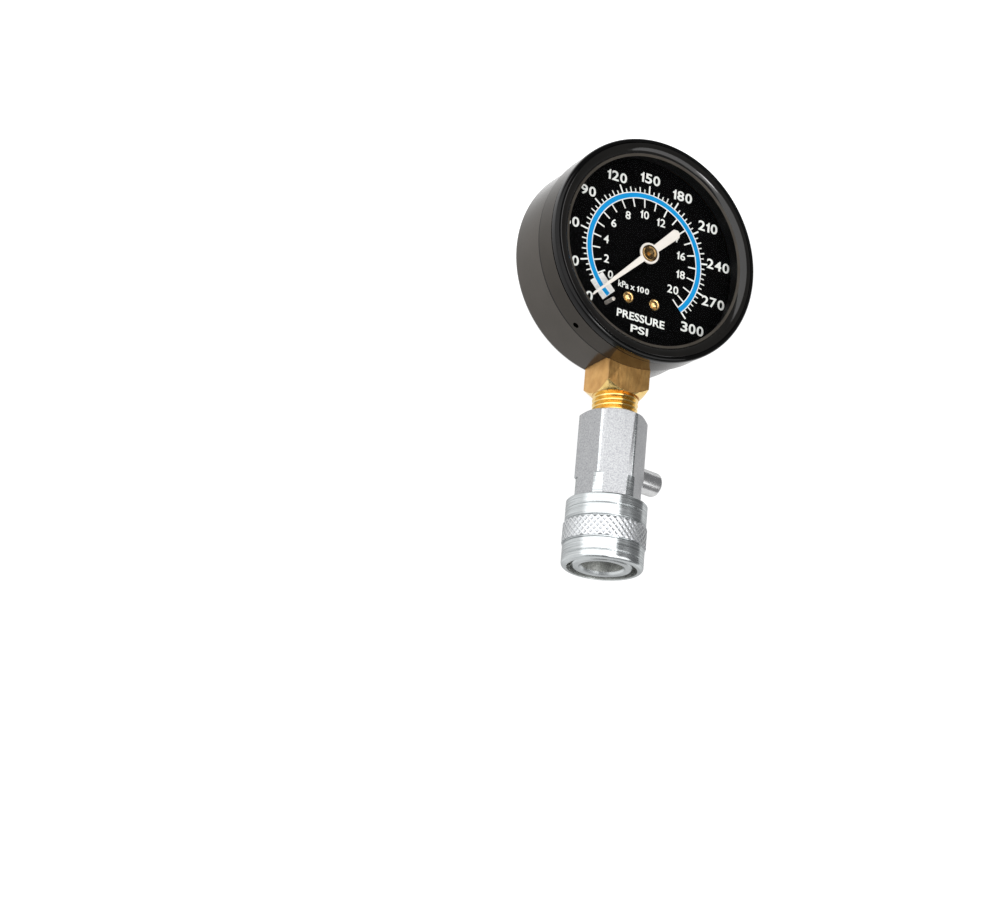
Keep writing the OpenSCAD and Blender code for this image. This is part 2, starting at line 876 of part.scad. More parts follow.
module socket_screws() {
  slot_w = 0.8;
  slot_h = 0.7;
  color([0.55, 0.55, 0.57])
    for (x = [-case_screw_x, case_screw_x])
      translate([x, -case_screw_y, 0])
        difference() {
          intersection() {
            screw_cone(0);
            cylinder(r = 2 * case_screw_head_r, h = 2 * case_screw_l);
          }
          translate([-case_screw_head_r - cut, -slot_w / 2, -cut])
            cube([2 * case_screw_head_r + 2 * cut, slot_w, slot_h + cut]);
        }
}

// Tapered pipe thread drawn as rings, between stations a and b of the stem
module pipe_thread(a, b) {
  turns = floor((b - a) / thread_pitch);
  crest = 0.12 * thread_pitch;
  function r_at(s) = thread_r - (s - a) * taper;
  rotate_extrude()
    polygon(concat(
      [[0, a - cut], [r_at(a) - thread_depth, a - cut]],
      joined([
        for (i = [0:turns - 1])
          let (s = a + i * thread_pitch, m = s + thread_pitch / 2)
          [
            [r_at(s) - thread_depth, s],
            [r_at(m), m - crest],
            [r_at(m), m + crest]
          ]
      ]),
      [[r_at(b) - thread_depth, a + turns * thread_pitch], [r_at(b) - thread_depth, b], [0, b]]
    ));
}

module socket() {
  color([0.72, 0.5, 0.2])
    difference() {
      union() {
        intersection() {
          along_stem(socket_in)
            translate([-block_w / 2, -block_w / 2, 0])
              cube([block_w, block_w, block_end - socket_in]);
          along_stem()
            rotate_extrude()
              polygon([
                [0, socket_in - cut], [block_corner_r, socket_in - cut],
                [block_corner_r, block_end - block_cone], [block_w / 2, block_end], [0, block_end]
              ]);
        }
        along_stem()
          pipe_thread(block_end, thread_end);
        // Foot that seats inside the back of the case
        translate([-block_w / 2, -foot_end, back_wall])
          cube([block_w, foot_end - socket_in, block_low - back_wall + cut]);
        // Lug that carries the movement's back plate
        translate([-lug_w / 2, -socket_in - cut, block_low])
          cube([lug_w, socket_in - lug_in + cut, back_plate_z - block_low]);
      }
      // Pressure port up the stem, and its cross drilling into the tube's open end
      along_stem(port_end)
        cylinder(r = port_r, h = thread_end - port_end + cut);
      translate([port_cross_at[0], port_cross_at[1], stem_z])
        rotate([0, 90, 0])
          cylinder(r = port_cross_r, h = -port_cross_at[0]);
      tube_ring(tube_start - tube_seat_sweep, tube_start + fit, tube_h + 2 * fit, tube_w + 2 * fit);
      at_plate_screws()
        drill([0, 0], plate_screw_r + fit, back_plate_z - plate_screw_l + cut - loose, plate_screw_l);
      for (x = [-case_screw_x, case_screw_x])
        translate([x, -case_screw_y, 0])
          screw_cone(fit);
    }
}

// Coupler

module coupler_body() {
  color([0.75, 0.76, 0.78])
    difference() {
      along_stem()
        union() {
          intersection() {
            rotate([0, 0, 90 - hex_turn])
              translate([0, 0, hex_s])
                cylinder(r = hex_af / sqrt(3), h = shoulder_s - hex_s, $fn = 6);
            rotate_extrude()
              polygon([
                [0, hex_s], [flat_r - chamfer_in, hex_s], [corner_r, hex_s + chamfer_rise],
                [corner_r, relief_s], [relief_r, relief_s], [relief_r, shoulder_s], [0, shoulder_s]
              ]);
          }
          rotate_extrude()
            polygon([
              [0, shoulder_s - cut], [nose_r, shoulder_s - cut],
              [nose_r, snap_s - fit], [nose_r - snap_groove, snap_s - fit],
              [nose_r - snap_groove, snap_s + snap_t + fit], [nose_r, snap_s + snap_t + fit],
              [nose_r, nose_s - 0.5], [nose_r - 0.5, nose_s], [0, nose_s]
            ]);
        }
      along_stem()
        rotate_extrude()
          polygon([
            [0, hex_s - cut], [thread_r + fit, hex_s - cut],
            [thread_r + fit - (bore_end - block_end) * taper / 2, bore_end],
            [passage_r, bore_end + 2], [passage_r, seal_s - 1], [seal_bore_r, seal_s],
            [seal_bore_r, mouth_s], [mouth_r, mouth_s], [mouth_r, nose_s - 0.8],
            [mouth_r + 0.8, nose_s], [mouth_r + 0.8, nose_s + cut], [0, nose_s + cut]
          ]);
      along_stem(ball_s)
        for (i = [0:ball_count - 1])
          rotate([0, 90, 360 / ball_count * (i + 0.5)])
            cylinder(r = ball_hole_r, h = nose_r + cut);
      along_button() {
        translate([0, 0, bleed_floor])
          cylinder(r = button_hole_r, h = flat_r - bleed_floor + cut);
        cylinder(r = poppet_hole_r, h = flat_r);
      }
    }
}

module lock_balls() {
  color([0.8, 0.8, 0.82])
    along_stem(ball_s)
      for (i = [0:ball_count - 1])
        rotate([0, 0, 360 / ball_count * (i + 0.5)])
          translate([ball_at, 0, 0])
            sphere(r = ball_r);
}

module snap_ring() {
  opening = 30;
  color([0.5, 0.5, 0.52])
    along_stem()
      rotate([0, 0, opening / 2])
        rotate_extrude(angle = 360 - opening)
          polygon([
            [nose_r - snap_groove + fit, snap_s], [snap_r, snap_s],
            [snap_r, snap_s + snap_t], [nose_r - snap_groove + fit, snap_s + snap_t]
          ]);
}

module plug_seal() {
  color([0.08, 0.08, 0.08])
    along_stem(mouth_s + plug_seal_wire)
      rotate_extrude()
        translate([plug_seal_r, 0])
          circle(r = plug_seal_wire);
}

module sleeve_spring() {
  room = land_s - shoulder_s;
  color([0.6, 0.6, 0.62])
    along_stem(shoulder_s + run)
      coil((nose_r + sleeve_bore) / 2, sleeve_wire, room - 2 * run, 4);
}

module sleeve() {
  line_s = sleeve_s + 3.2;
  low_line_s = sleeve_end - 2.5;
  low_r = sleeve_r + 0.1;
  neck = sleeve_line * 1.4;
  color([0.78, 0.79, 0.8])
    along_stem()
      rotate_extrude()
        polygon(concat(
          [[sleeve_bore, sleeve_s], [sleeve_r - sleeve_edge / 2, sleeve_s], [sleeve_r, sleeve_s + sleeve_edge / 2]],
          [[sleeve_r, line_s - sleeve_line], [sleeve_r - sleeve_line, line_s], [sleeve_r, line_s + sleeve_line]],
          [[sleeve_r, knurl_s - 2 * neck], [sleeve_r - neck, knurl_s - neck], [knurl_r - neck, knurl_s]],
          [[knurl_r, knurl_s + neck], [knurl_r, knurl_end - neck], [knurl_r - neck, knurl_end]],
          [[low_r - neck, knurl_end + neck], [low_r, knurl_end + 2 * neck]],
          [[low_r, low_line_s - sleeve_line], [low_r - sleeve_line, low_line_s], [low_r, low_line_s + sleeve_line]],
          arc([low_r - mouth_edge, sleeve_end - mouth_edge], mouth_edge, 0, 90),
          [[sleeve_mouth_r, sleeve_end], [sleeve_mouth_r, land_end], [land_r, land_end]],
          [[land_r, land_s], [sleeve_bore, land_s]]
        ));
}

// Bleed valve

module bleed_button() {
  color([0.77, 0.78, 0.8])
    along_button()
      difference() {
        rotate_extrude()
          polygon(concat(
            [[0, button_in], [button_r - 0.3, button_in], [button_r, button_in + 0.3]],
            arc([button_r - button_edge, button_tip - button_edge], button_edge, 0, 90),
            [[0, button_tip]]
          ));
        translate([0, 0, button_in - cut])
          cylinder(r = poppet_r + fit, h = cut + poppet_grip + fit);
      }
}

module bleed_poppet() {
  low = poppet_head_top - poppet_head_t;
  color([0.78, 0.62, 0.3])
    along_button()
      union() {
        translate([0, 0, low])
          cylinder(r = poppet_head_r, h = poppet_head_t);
        translate([0, 0, low])
          cylinder(r = poppet_r, h = button_in + poppet_grip - low);
      }
}

module bleed_seal() {
  color([0.08, 0.08, 0.08])
    difference() {
      intersection() {
        along_button()
          translate([0, 0, poppet_head_top])
            cylinder(r = poppet_head_r, h = passage_r);
        along_stem(button_s - 2 * passage_r)
          cylinder(r = passage_r - fit, h = 4 * passage_r);
      }
      along_button()
        cylinder(r = poppet_r + fit, h = 2 * passage_r);
    }
}

module bleed_spring() {
  color([0.6, 0.6, 0.62])
    along_button()
      translate([0, 0, bleed_floor + run])
        coil(bleed_spring_r, bleed_wire, bleed_spring_l - 2 * run, 4, 14);
}

case_cup();
case_band();
bezel();
lens();
lens_ring();
dial();
dial_screws();
stop_pin();
socket();
socket_screws();
bourdon_tube();
tube_tip();
back_plate();
front_plate();
pillars();
movement_screws();
hairspring();
pointer();
pointer_bush();
pinion_arbor();
sector_gear();
sector_arbor();
link();
coupler_body();
lock_balls();
snap_ring();
plug_seal();
sleeve_spring();
sleeve();
bleed_button();
bleed_poppet();
bleed_seal();
bleed_spring();
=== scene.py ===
import bpy, bmesh, json, math
from mathutils import Matrix, Vector


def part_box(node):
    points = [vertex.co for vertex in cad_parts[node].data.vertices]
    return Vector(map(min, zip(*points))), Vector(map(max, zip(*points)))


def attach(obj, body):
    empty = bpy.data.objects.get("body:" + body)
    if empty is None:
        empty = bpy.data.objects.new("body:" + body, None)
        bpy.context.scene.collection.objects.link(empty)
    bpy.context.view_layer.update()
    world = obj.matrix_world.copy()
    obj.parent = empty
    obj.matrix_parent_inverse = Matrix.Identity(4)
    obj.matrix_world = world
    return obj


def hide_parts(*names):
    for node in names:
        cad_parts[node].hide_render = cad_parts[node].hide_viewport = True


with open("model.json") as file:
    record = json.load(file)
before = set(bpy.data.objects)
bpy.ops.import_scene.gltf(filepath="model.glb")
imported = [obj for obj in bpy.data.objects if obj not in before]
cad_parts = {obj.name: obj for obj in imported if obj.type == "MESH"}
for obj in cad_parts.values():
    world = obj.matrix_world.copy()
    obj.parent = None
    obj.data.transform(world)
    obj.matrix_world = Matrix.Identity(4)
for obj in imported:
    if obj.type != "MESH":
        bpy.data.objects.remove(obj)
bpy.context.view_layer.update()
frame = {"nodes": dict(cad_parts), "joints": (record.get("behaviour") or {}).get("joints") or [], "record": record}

mounts = {mount["name"]: mount for mount in frame["record"]["mounts"]}
joints = {joint["name"]: joint for joint in frame["joints"]}

# The gauge is drawn in millimetres, and Blender works in metres
MM = 0.001
X, Y, Z = 0, 1, 2


def to_mm(metres):
    """A place of the frame in millimetres, to a thousandth."""
    return round(metres / MM, 3)


def start_of(node, axis):
    """Where a CAD piece starts along an axis."""
    return to_mm(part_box(node)[0][axis])


def end_of(node, axis):
    """Where a CAD piece ends along an axis."""
    return to_mm(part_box(node)[1][axis])


# Places that the frame gives: the dial's face, the stem's axis, and the thread's end down the stem
DIAL_TOP = end_of("dial", Z)
STEM_Z = to_mm(mounts["plug_socket"]["pos_m"][Z])
THREAD_END = -start_of("socket", Y)

# Places within the CAD pieces: the end of the wrench block and the bleed button's axis, down the stem
BLOCK_END = 41.9
BUTTON_S = 64.1

# The coupler's hexagon: from its axis to a flat, and its turn about the stem in degrees
HEX_FLAT = 9.0
HEX_TURN = 10.7

on_stem = Matrix.Translation((0, 0, STEM_Z * MM)) @ Matrix.Rotation(math.pi / 2, 4, "X")
on_button = (
    on_stem
    @ Matrix.Translation((0, 0, BUTTON_S * MM))
    @ Matrix.Rotation(math.radians(-HEX_TURN), 4, "Z")
    @ Matrix.Rotation(math.pi / 2, 4, "Y")
)


# Finishes

# Noise mostly stays between these two values
NOISE_LOW, NOISE_HIGH = 0.3, 0.7
FINE_DETAIL, PATCH_DETAIL, HAZE_DETAIL = 3.0, 4.0, 2.0

# Blender counts the turn of drawn-out highlights in whole turns
QUARTER_TURN = 0.25


def even(size):
    """The same size along x, y and z."""
    return (size, size, size)


def new_finish(name):
    """A node material, its tree and its main shader."""
    finish = bpy.data.materials.new(name)
    finish.use_nodes = True
    return finish, finish.node_tree, finish.node_tree.nodes["Principled BSDF"]


def add(tree, kind, settings=None, sockets=None):
    """A shader node with its settings and its socket values."""
    made = tree.nodes.new("ShaderNode" + kind)
    for key, value in (settings or {}).items():
        setattr(made, key, value)
    for key, value in (sockets or {}).items():
        made.inputs[key].default_value = value
    return made


def grain(tree, size, detail):
    """Noise with features of the given size in millimetres along x, y and z."""
    coords = add(tree, "TexCoord")
    place = add(tree, "Mapping", {"vector_type": "TEXTURE"}, {"Scale": [s * MM for s in size]})
    noise = add(tree, "TexNoise", None, {"Scale": 1.0, "Detail": detail})
    tree.links.new(coords.outputs["Object"], place.inputs["Vector"])
    tree.links.new(place.outputs["Vector"], noise.inputs["Vector"])
    return noise.outputs["Fac"]


def shades(tree, pattern, low, high):
    """A colour that runs from low to high over a noise pattern."""
    ramp = add(tree, "ValToRGB")
    first, last = ramp.color_ramp.elements
    first.position, last.position = NOISE_LOW, NOISE_HIGH
    first.color, last.color = (*low, 1), (*high, 1)
    tree.links.new(pattern, ramp.inputs["Fac"])
    return ramp.outputs["Color"]


def levels(tree, pattern, low, high, start=NOISE_LOW, stop=NOISE_HIGH):
    """A number that runs from low to high while the pattern runs from start to stop."""
    ends = {"From Min": start, "From Max": stop, "To Min": low, "To Max": high}
    spread = add(tree, "MapRange", None, ends)
    tree.links.new(pattern, spread.inputs["Value"])
    return spread.outputs["Result"]


def relief(tree, shader, pattern, depth):
    """Bump of the given depth in millimetres."""
    bump = add(tree, "Bump", None, {"Distance": depth * MM, "Strength": 1.0})
    tree.links.new(pattern, bump.inputs["Height"])
    tree.links.new(bump.outputs["Normal"], shader.inputs["Normal"])


def surface(
    name, colours, gloss, size, depth,
    metal=0.0, patch=even(6.0), detail=FINE_DETAIL, shine=0.5, edge=1.0, lathe=0.0,
):
    """A finish whose colour drifts from patch to patch, with fine grain in its gloss and relief.

    gloss is its lowest and highest roughness, size the grain and depth the relief, in millimetres.
    shine is how strongly it mirrors where it isn't metal, and edge how bright it stays at a glance.
    lathe is how far marks of turning about the stem draw its highlights out.
    """
    finish, tree, shader = new_finish(name)
    fine = grain(tree, size, detail)
    broad = grain(tree, patch, PATCH_DETAIL)
    tree.links.new(shades(tree, broad, *colours), shader.inputs["Base Color"])
    tree.links.new(levels(tree, fine, *gloss), shader.inputs["Roughness"])
    relief(tree, shader, fine, depth)
    shader.inputs["Metallic"].default_value = metal
    shader.inputs["Specular IOR Level"].default_value = shine
    shader.inputs["Specular Tint"].default_value = (edge, edge, edge, 1)
    if lathe:
        around = add(tree, "Tangent", {"direction_type": "RADIAL", "axis": "Y"})
        tree.links.new(around.outputs["Tangent"], shader.inputs["Tangent"])
        shader.inputs["Anisotropic"].default_value = lathe
        shader.inputs["Anisotropic Rotation"].default_value = QUARTER_TURN
    return finish


def clear_finish(name, tint, gloss, size, bend):
    """A clear sheet: it lets what lies under it through and mirrors the room by its angle."""
    finish, tree, shader = new_finish(name)
    haze = grain(tree, size, HAZE_DETAIL)
    shader.inputs["Base Color"].default_value = (*tint, 1)
    shader.inputs["Metallic"].default_value = 1.0
    tree.links.new(levels(tree, haze, *gloss), shader.inputs["Roughness"])
    through = add(tree, "BsdfTransparent")
    glance = add(tree, "Fresnel", None, {"IOR": bend})
    both = add(tree, "MixShader")
    tree.links.new(glance.outputs["Fac"], both.inputs["Fac"])
    tree.links.new(through.outputs["BSDF"], both.inputs[1])
    tree.links.new(shader.outputs["BSDF"], both.inputs[2])
    tree.links.new(both.outputs["Shader"], tree.nodes["Material Output"].inputs["Surface"])
    return finish


# Marks of turning: long round the stem and short along it
TURNED_GRAIN = (14.0, 0.5, 14.0)
TURNED_PATCH = (14.0, 0.4, 14.0)

# Black paint, plastic and rubber
case_black = surface(
    "gloss_black_paint", ((0.076, 0.070, 0.063), (0.082, 0.075, 0.068)),
    gloss=(0.14, 0.22), size=even(0.5), depth=0.003, metal=1.0, edge=0.68,
)
band_black = surface(
    "gloss_black_band", ((0.046, 0.042, 0.037), (0.051, 0.046, 0.041)),
    gloss=(0.14, 0.22), size=even(0.5), depth=0.003, metal=1.0, edge=0.72,
)
gloss_black = surface(
    "gloss_black_bezel", ((0.0006, 0.0006, 0.0006), (0.0014, 0.0014, 0.0014)),
    gloss=(0.06, 0.11), size=even(1.4), depth=0.003, shine=0.15,
)
bead_black = surface(
    "polished_black_bead", ((0.0022, 0.0020, 0.0016), (0.004, 0.0036, 0.003)),
    gloss=(0.08, 0.13), size=even(1.4), depth=0.003, shine=0.4,
)
lip_black = surface(
    "satin_black_lip", ((0.030, 0.026, 0.021), (0.042, 0.037, 0.031)),
    gloss=(0.4, 0.5), size=even(0.4), depth=0.003, shine=0.1,
)
matte_black = surface(
    "matte_black_ring", ((0.003, 0.003, 0.003), (0.006, 0.006, 0.006)),
    gloss=(0.45, 0.6), size=even(0.4), depth=0.01, shine=0.1,
)
rubber = surface(
    "black_rubber", ((0.012, 0.012, 0.012), (0.024, 0.024, 0.024)),
    gloss=(0.55, 0.75), size=even(0.3), depth=0.01,
)

# Dial, its inks and the pointer
dial_black = surface(
    "dial_black_enamel", ((0.0003, 0.0003, 0.0003), (0.0006, 0.0006, 0.0007)),
    gloss=(0.5, 0.65), size=even(0.25), depth=0.002, shine=0.02,
)
ink_white = surface(
    "white_dial_ink", ((0.55, 0.56, 0.535), (0.60, 0.61, 0.585)),
    gloss=(0.5, 0.65), size=even(0.15), depth=0.004, shine=0.1,
)
ink_blue = surface(
    "blue_dial_ink", ((0.0015, 0.175, 0.40), (0.0025, 0.20, 0.45)),
    gloss=(0.5, 0.62), size=even(0.15), depth=0.004, shine=0.1,
)
ink_grey = surface(
    "grey_dial_ink", ((0.43, 0.43, 0.415), (0.56, 0.555, 0.535)),
    gloss=(0.5, 0.62), size=even(0.2), depth=0.004, patch=even(1.5), shine=0.1,
)
pointer_cream = surface(
    "cream_pointer_paint", ((0.53, 0.50, 0.455), (0.58, 0.545, 0.50)),
    gloss=(0.38, 0.5), size=even(0.2), depth=0.004, shine=0.2,
)

# Brass and bronze
block_brass = surface(
    "brushed_block_brass", ((0.49, 0.262, 0.084), (0.64, 0.378, 0.132)),
    gloss=(0.3, 0.48), size=(0.6, 4.0, 0.6), depth=0.003, metal=1.0, patch=even(3.0),
)
thread_brass = surface(
    "cut_thread_brass", ((0.72, 0.495, 0.16), (0.83, 0.61, 0.26)),
    gloss=(0.10, 0.24), size=TURNED_GRAIN, depth=0.004, metal=1.0, patch=even(2.0),
)
bright_brass = surface(
    "bright_brass", ((0.55, 0.34, 0.13), (0.76, 0.52, 0.23)),
    gloss=(0.14, 0.26), size=even(0.25), depth=0.004, metal=1.0, patch=even(1.2),
)
dull_brass = surface(
    "dull_brass_bush", ((0.14, 0.085, 0.035), (0.30, 0.19, 0.08)),
    gloss=(0.16, 0.30), size=even(0.25), depth=0.004, metal=1.0, patch=even(1.2),
)
bronze = surface(
    "drawn_bronze", ((0.52, 0.30, 0.13), (0.68, 0.42, 0.2)),
    gloss=(0.25, 0.4), size=even(0.5), depth=0.006, metal=1.0, patch=even(4.0),
)

# Steel and zinc plate
steel = surface(
    "bright_steel", ((0.50, 0.50, 0.52), (0.66, 0.66, 0.68)),
    gloss=(0.2, 0.34), size=even(0.4), depth=0.005, metal=1.0, patch=even(3.0),
)
pin_steel = surface(
    "plain_steel_pin", ((0.38, 0.35, 0.31), (0.54, 0.50, 0.45)),
    gloss=(0.3, 0.4), size=even(0.3), depth=0.004, metal=0.4, patch=even(1.0),
)
zinc_flat = surface(
    "drawn_zinc_flats", ((0.27, 0.275, 0.29), (0.48, 0.485, 0.49)),
    gloss=(0.36, 0.55), size=even(0.32), depth=0.03, metal=1.0, patch=even(0.36), detail=5.0, edge=0.9,
)
zinc_turned = surface(
    "turned_zinc", ((0.34, 0.358, 0.364), (0.66, 0.688, 0.695)),
    gloss=(0.2, 0.32), size=TURNED_GRAIN, depth=0.008, metal=1.0, patch=TURNED_PATCH, edge=0.6, lathe=0.9,
)
zinc_knurled = surface(
    "knurled_zinc", ((0.58, 0.595, 0.60), (0.68, 0.695, 0.70)),
    gloss=(0.4, 0.55), size=even(0.3), depth=0.004, metal=1.0, patch=even(2.5), edge=0.5,
)
# Knurl pits: the same zinc made darker, painted shade in the recesses
zinc_pit_painted_shade = surface(
    "knurl_pit_painted_shade_zinc", ((0.36, 0.37, 0.385), (0.46, 0.47, 0.485)),
    gloss=(0.35, 0.5), size=even(0.3), depth=0.004, metal=1.0, patch=even(1.0),
)
zinc_dull = surface(
    "dull_zinc_inside", ((0.37, 0.38, 0.365), (0.50, 0.51, 0.49)),
    gloss=(0.24, 0.36), size=even(0.5), depth=0.004, metal=0.8, patch=even(2.0),
)
zinc_button = surface(
    "turned_zinc_button", ((0.56, 0.565, 0.57), (0.68, 0.68, 0.68)),
    gloss=(0.2, 0.28), size=even(0.6), depth=0.0005, metal=1.0, patch=even(2.5), edge=0.6,
)

lens_clear = clear_finish(
    "clear_lens", tint=(0.9, 0.95, 1.0), gloss=(0.012, 0.02), size=even(20.0), bend=1.09
)


# Making pieces

# Angles in degrees from which a corner is rounded, and from which it is shaded as a corner
ROUND_FROM, SHARP_FROM = 30, 35
ROUND_STEPS = 3

# Points closer than this are one, in millimetres: in a copy, in a turned shape and along a cut
COPY_NEAR, TURN_NEAR, CUT_NEAR = 0.001, 0.0005, 0.005

# Faces of a copy that lie within this angle, in degrees, are one face
COPY_FLAT = 0.6


def piece(name, bm, body, finishes, stands_for=(), edge=0.0, sharp=SHARP_FROM):
    """Makes a shape a piece that rides on a body, its corners rounded by edge millimetres."""
    mesh = bpy.data.meshes.new(name)
    bm.to_mesh(mesh)
    bm.free()
    mesh.shade_smooth()
    mesh.set_sharp_from_angle(angle=math.radians(sharp))
    for finish in finishes:
        mesh.materials.append(finish)
    made = bpy.data.objects.new(name, mesh)
    bpy.context.scene.collection.objects.link(made)
    if edge:
        soften = made.modifiers.new("softened_edges", "BEVEL")
        soften.width = edge * MM
        soften.segments = ROUND_STEPS
        soften.limit_method = "ANGLE"
        soften.angle_limit = math.radians(ROUND_FROM)
        soften.harden_normals = True
    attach(made, body)
    if stands_for:
        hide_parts(*stands_for)


def merge(bm, near):
    """Makes points that lie near each other one."""
    bmesh.ops.remove_doubles(bm, verts=bm.verts, dist=near * MM)


def open_edges(bm):
    """The edges where a shape isn't closed."""
    return [edge for edge in bm.edges if edge.is_boundary]


def fill_holes(bm):
    """Closes the open ends of a shape with flat faces."""
    bmesh.ops.holes_fill(bm, edges=open_edges(bm), sides=0)


def trim(bm, place, way):
    """Cuts off what lies past a place in one direction."""
    whole = bm.verts[:] + bm.edges[:] + bm.faces[:]
    bmesh.ops.bisect_plane(bm, geom=whole, plane_co=place, plane_no=way, clear_outer=True)


def copy_of(node):
    """The CAD node's shape with its triangles joined into whole faces."""
    bm = bmesh.new()
    bm.from_mesh(frame["nodes"][node].data)
    merge(bm, COPY_NEAR)
    bmesh.ops.dissolve_limit(bm, angle_limit=math.radians(COPY_FLAT), verts=bm.verts, edges=bm.edges)
    return bm


def turned(profile, steps, closed=True):
    """Spins a profile of (radius, height) points in millimetres about its axis."""
    bm = bmesh.new()
    points = [bm.verts.new((r * MM, 0, h * MM)) for r, h in profile]
    lines = [bm.edges.new(pair) for pair in zip(points, points[1:])]
    if closed:
        lines.append(bm.edges.new((points[-1], points[0])))
    bmesh.ops.spin(
        bm, geom=points + lines, cent=(0, 0, 0), axis=(0, 0, 1), angle=math.tau, steps=steps, use_merge=True
    )
    merge(bm, TURN_NEAR)
    bmesh.ops.recalc_face_normals(bm, faces=bm.faces)
    return bm


def joined(bm, other, finish=0):
    """Adds another shape to a piece, in the piece's finish of that number."""
    for face in other.faces:
        face.material_index = finish
    kept = bpy.data.meshes.new("joined")
    other.to_mesh(kept)
    other.free()
    bm.from_mesh(kept)
    bpy.data.meshes.remove(kept)


def rounded(centre, radius, start, stop, steps=8):
    """Points of a profile's rounding, from one angle to another in degrees."""
    turns = [math.radians(start + (stop - start) * i / steps) for i in range(steps + 1)]
    return [(centre[0] + radius * math.cos(t), centre[1] + radius * math.sin(t)) for t in turns]


def radius_of(point):
    """Distance of a point from the axis that a shape was turned about, in millimetres."""
    return math.hypot(point.x, point.y) / MM


# Print on the dial

# The scale: zero stands at this angle from +X in degrees, and the pointer's joint gives the sweep
ZERO_AT = 225.0
SWEEP = joints["pointer_turn"]["range_deg"][1]
FULL_PSI, LAST_BAR = 300, 20
PSI_PER_BAR = 14.5038

# Thickness of the ink, and where its layers lie: the zero field, the white print and the blue arc
INK = 0.02
FIELD_Z, WHITE_Z, BLUE_Z = DIAL_TOP + 0.005, DIAL_TOP + 0.015, DIAL_TOP + 0.04

# The blue arc lies on a wider white one, and both run a little past the scale
ARC_IN, ARC_OUT = 17.95, 20.0
BLUE_IN, BLUE_OUT = 18.25, 19.7
ARC_START, ARC_END = 234.0, -45.6
ARC_STEPS = 140

# The field behind the zero mark: its middle from the centre, its size, its corners and its turn
FIELD_AT, FIELD_LONG, FIELD_WIDE, FIELD_CORNER = 18.7, 5.4, 6.7, 0.25
FIELD_TURN = ZERO_AT - 0.5

# Ticks outside the arc stand at every 5 psi, longer at every 10, and thick at every 30, which are numbered
TICK_EVERY, LONG_EVERY, NUMBER_EVERY = 5, 10, 30
SHORT_TICK, LONG_TICK, NUMBER_TICK = 1.1, 1.6, 2.6
TICK_W, NUMBER_TICK_W = 0.36, 0.5

# From this pressure on, the first digits come close to the arc, and their ticks are shorter
CLOSE_FROM, CLOSE_TICK = 210, 2.2

# Ticks inside the arc stand at every bar. All ticks lap over the arc's edge
BAR_TICK_IN, BAR_TICK_W = 15.3, 0.42
TICK_LAP = 0.1

# Digits: height, width, gap and weight of their strokes
OUTER_DIGITS = (3.15, 2.4, 0.4, 0.02)
INNER_DIGITS = (2.55, 1.75, 0.35, 0.014)
INNER_ZERO_DIGIT = (2.5, 1.75, 0.35, 0.014)
FACTOR_DIGITS = (1.85, 1.4, 0.35, 0.02)

# The printer's one: its outline in a box of 1 by 1, and its width as a share of another digit's
ONE = ((0.42, 0), (1, 0), (1, 1), (0.62, 1), (0.5, 0.86), (0.28, 0.78), (0, 0.75), (0, 0.6), (0.42, 0.6))
ONE_WIDTH = 0.5

# How far from the dial's centre the middle of each outer number stands
OUTER_RADII = {
    0: 24.8, 30: 25.8, 60: 25.85, 90: 25.7, 120: 25.2, 150: 24.9,
    180: 25.4, 210: 26.2, 240: 26.05, 270: 26.15, 300: 25.8,
}

# The inner numbers, every 2 bar: the low ones stand further out, and zero is turned from its mark
INNER_EVERY, INNER_LOW_BELOW = 2, 8
INNER_LOW_R, INNER_R, INNER_ZERO_R = 13.5, 13.1, 14.2
INNER_ZERO_TURN = 6

# Words: place, height and width
WORDS = {
    "kPa x": ((-5.3, -10.75), 2.0, 5.7),
    "PRESSURE": ((0.4, -19.8), 2.5, 16.5),
    "PSI": ((0.2, -23.5), 2.4, 6.0),
}
WORD_WEIGHT = 0.02
FACTOR_AT = (0.4, -10.8)
LETTER_CURVE_STEPS = 4


def at_psi(psi):
    """Angle on the dial in degrees, counted from +X."""
    return ZERO_AT - SWEEP * psi / FULL_PSI


def polar(radius, angle):
    """A point of the dial by its distance from the centre and its angle in degrees."""
    return radius * math.cos(math.radians(angle)), radius * math.sin(math.radians(angle))


def arc_band(bm, inner, outer, low):
    """A printed band round the dial, over the whole arc."""
    turn = Matrix.Rotation(math.radians(ARC_START), 4, "Z")
    section = ((inner, low), (outer, low), (outer, low + INK), (inner, low + INK))
    corners = [bm.verts.new(turn @ Vector((r * MM, 0, z * MM))) for r, z in section]
    face = bm.faces.new(corners)
    bmesh.ops.spin(
        bm,
        geom=corners + list(face.edges) + [face],
        cent=(0, 0, 0),
        axis=(0, 0, 1),
        angle=math.radians(ARC_END - ARC_START),
        steps=ARC_STEPS,
    )


def bar_of_ink(bm, angle, inner, outer, width, low):
    """A printed rectangle along the dial's radius."""
    middle = Matrix.Translation(((inner + outer) / 2 * MM, 0, (low + INK / 2) * MM))
    size = Matrix.Diagonal(((outer - inner) * MM, width * MM, INK * MM, 1))
    bmesh.ops.create_cube(bm, size=1, matrix=Matrix.Rotation(math.radians(angle), 4, "Z") @ middle @ size)


def tick_length(psi):
    """How far a tick stands out of the arc, by the pressure that it marks."""
    if psi % NUMBER_EVERY == 0:
        return NUMBER_TICK if psi < CLOSE_FROM else CLOSE_TICK
    return LONG_TICK if psi % LONG_EVERY == 0 else SHORT_TICK


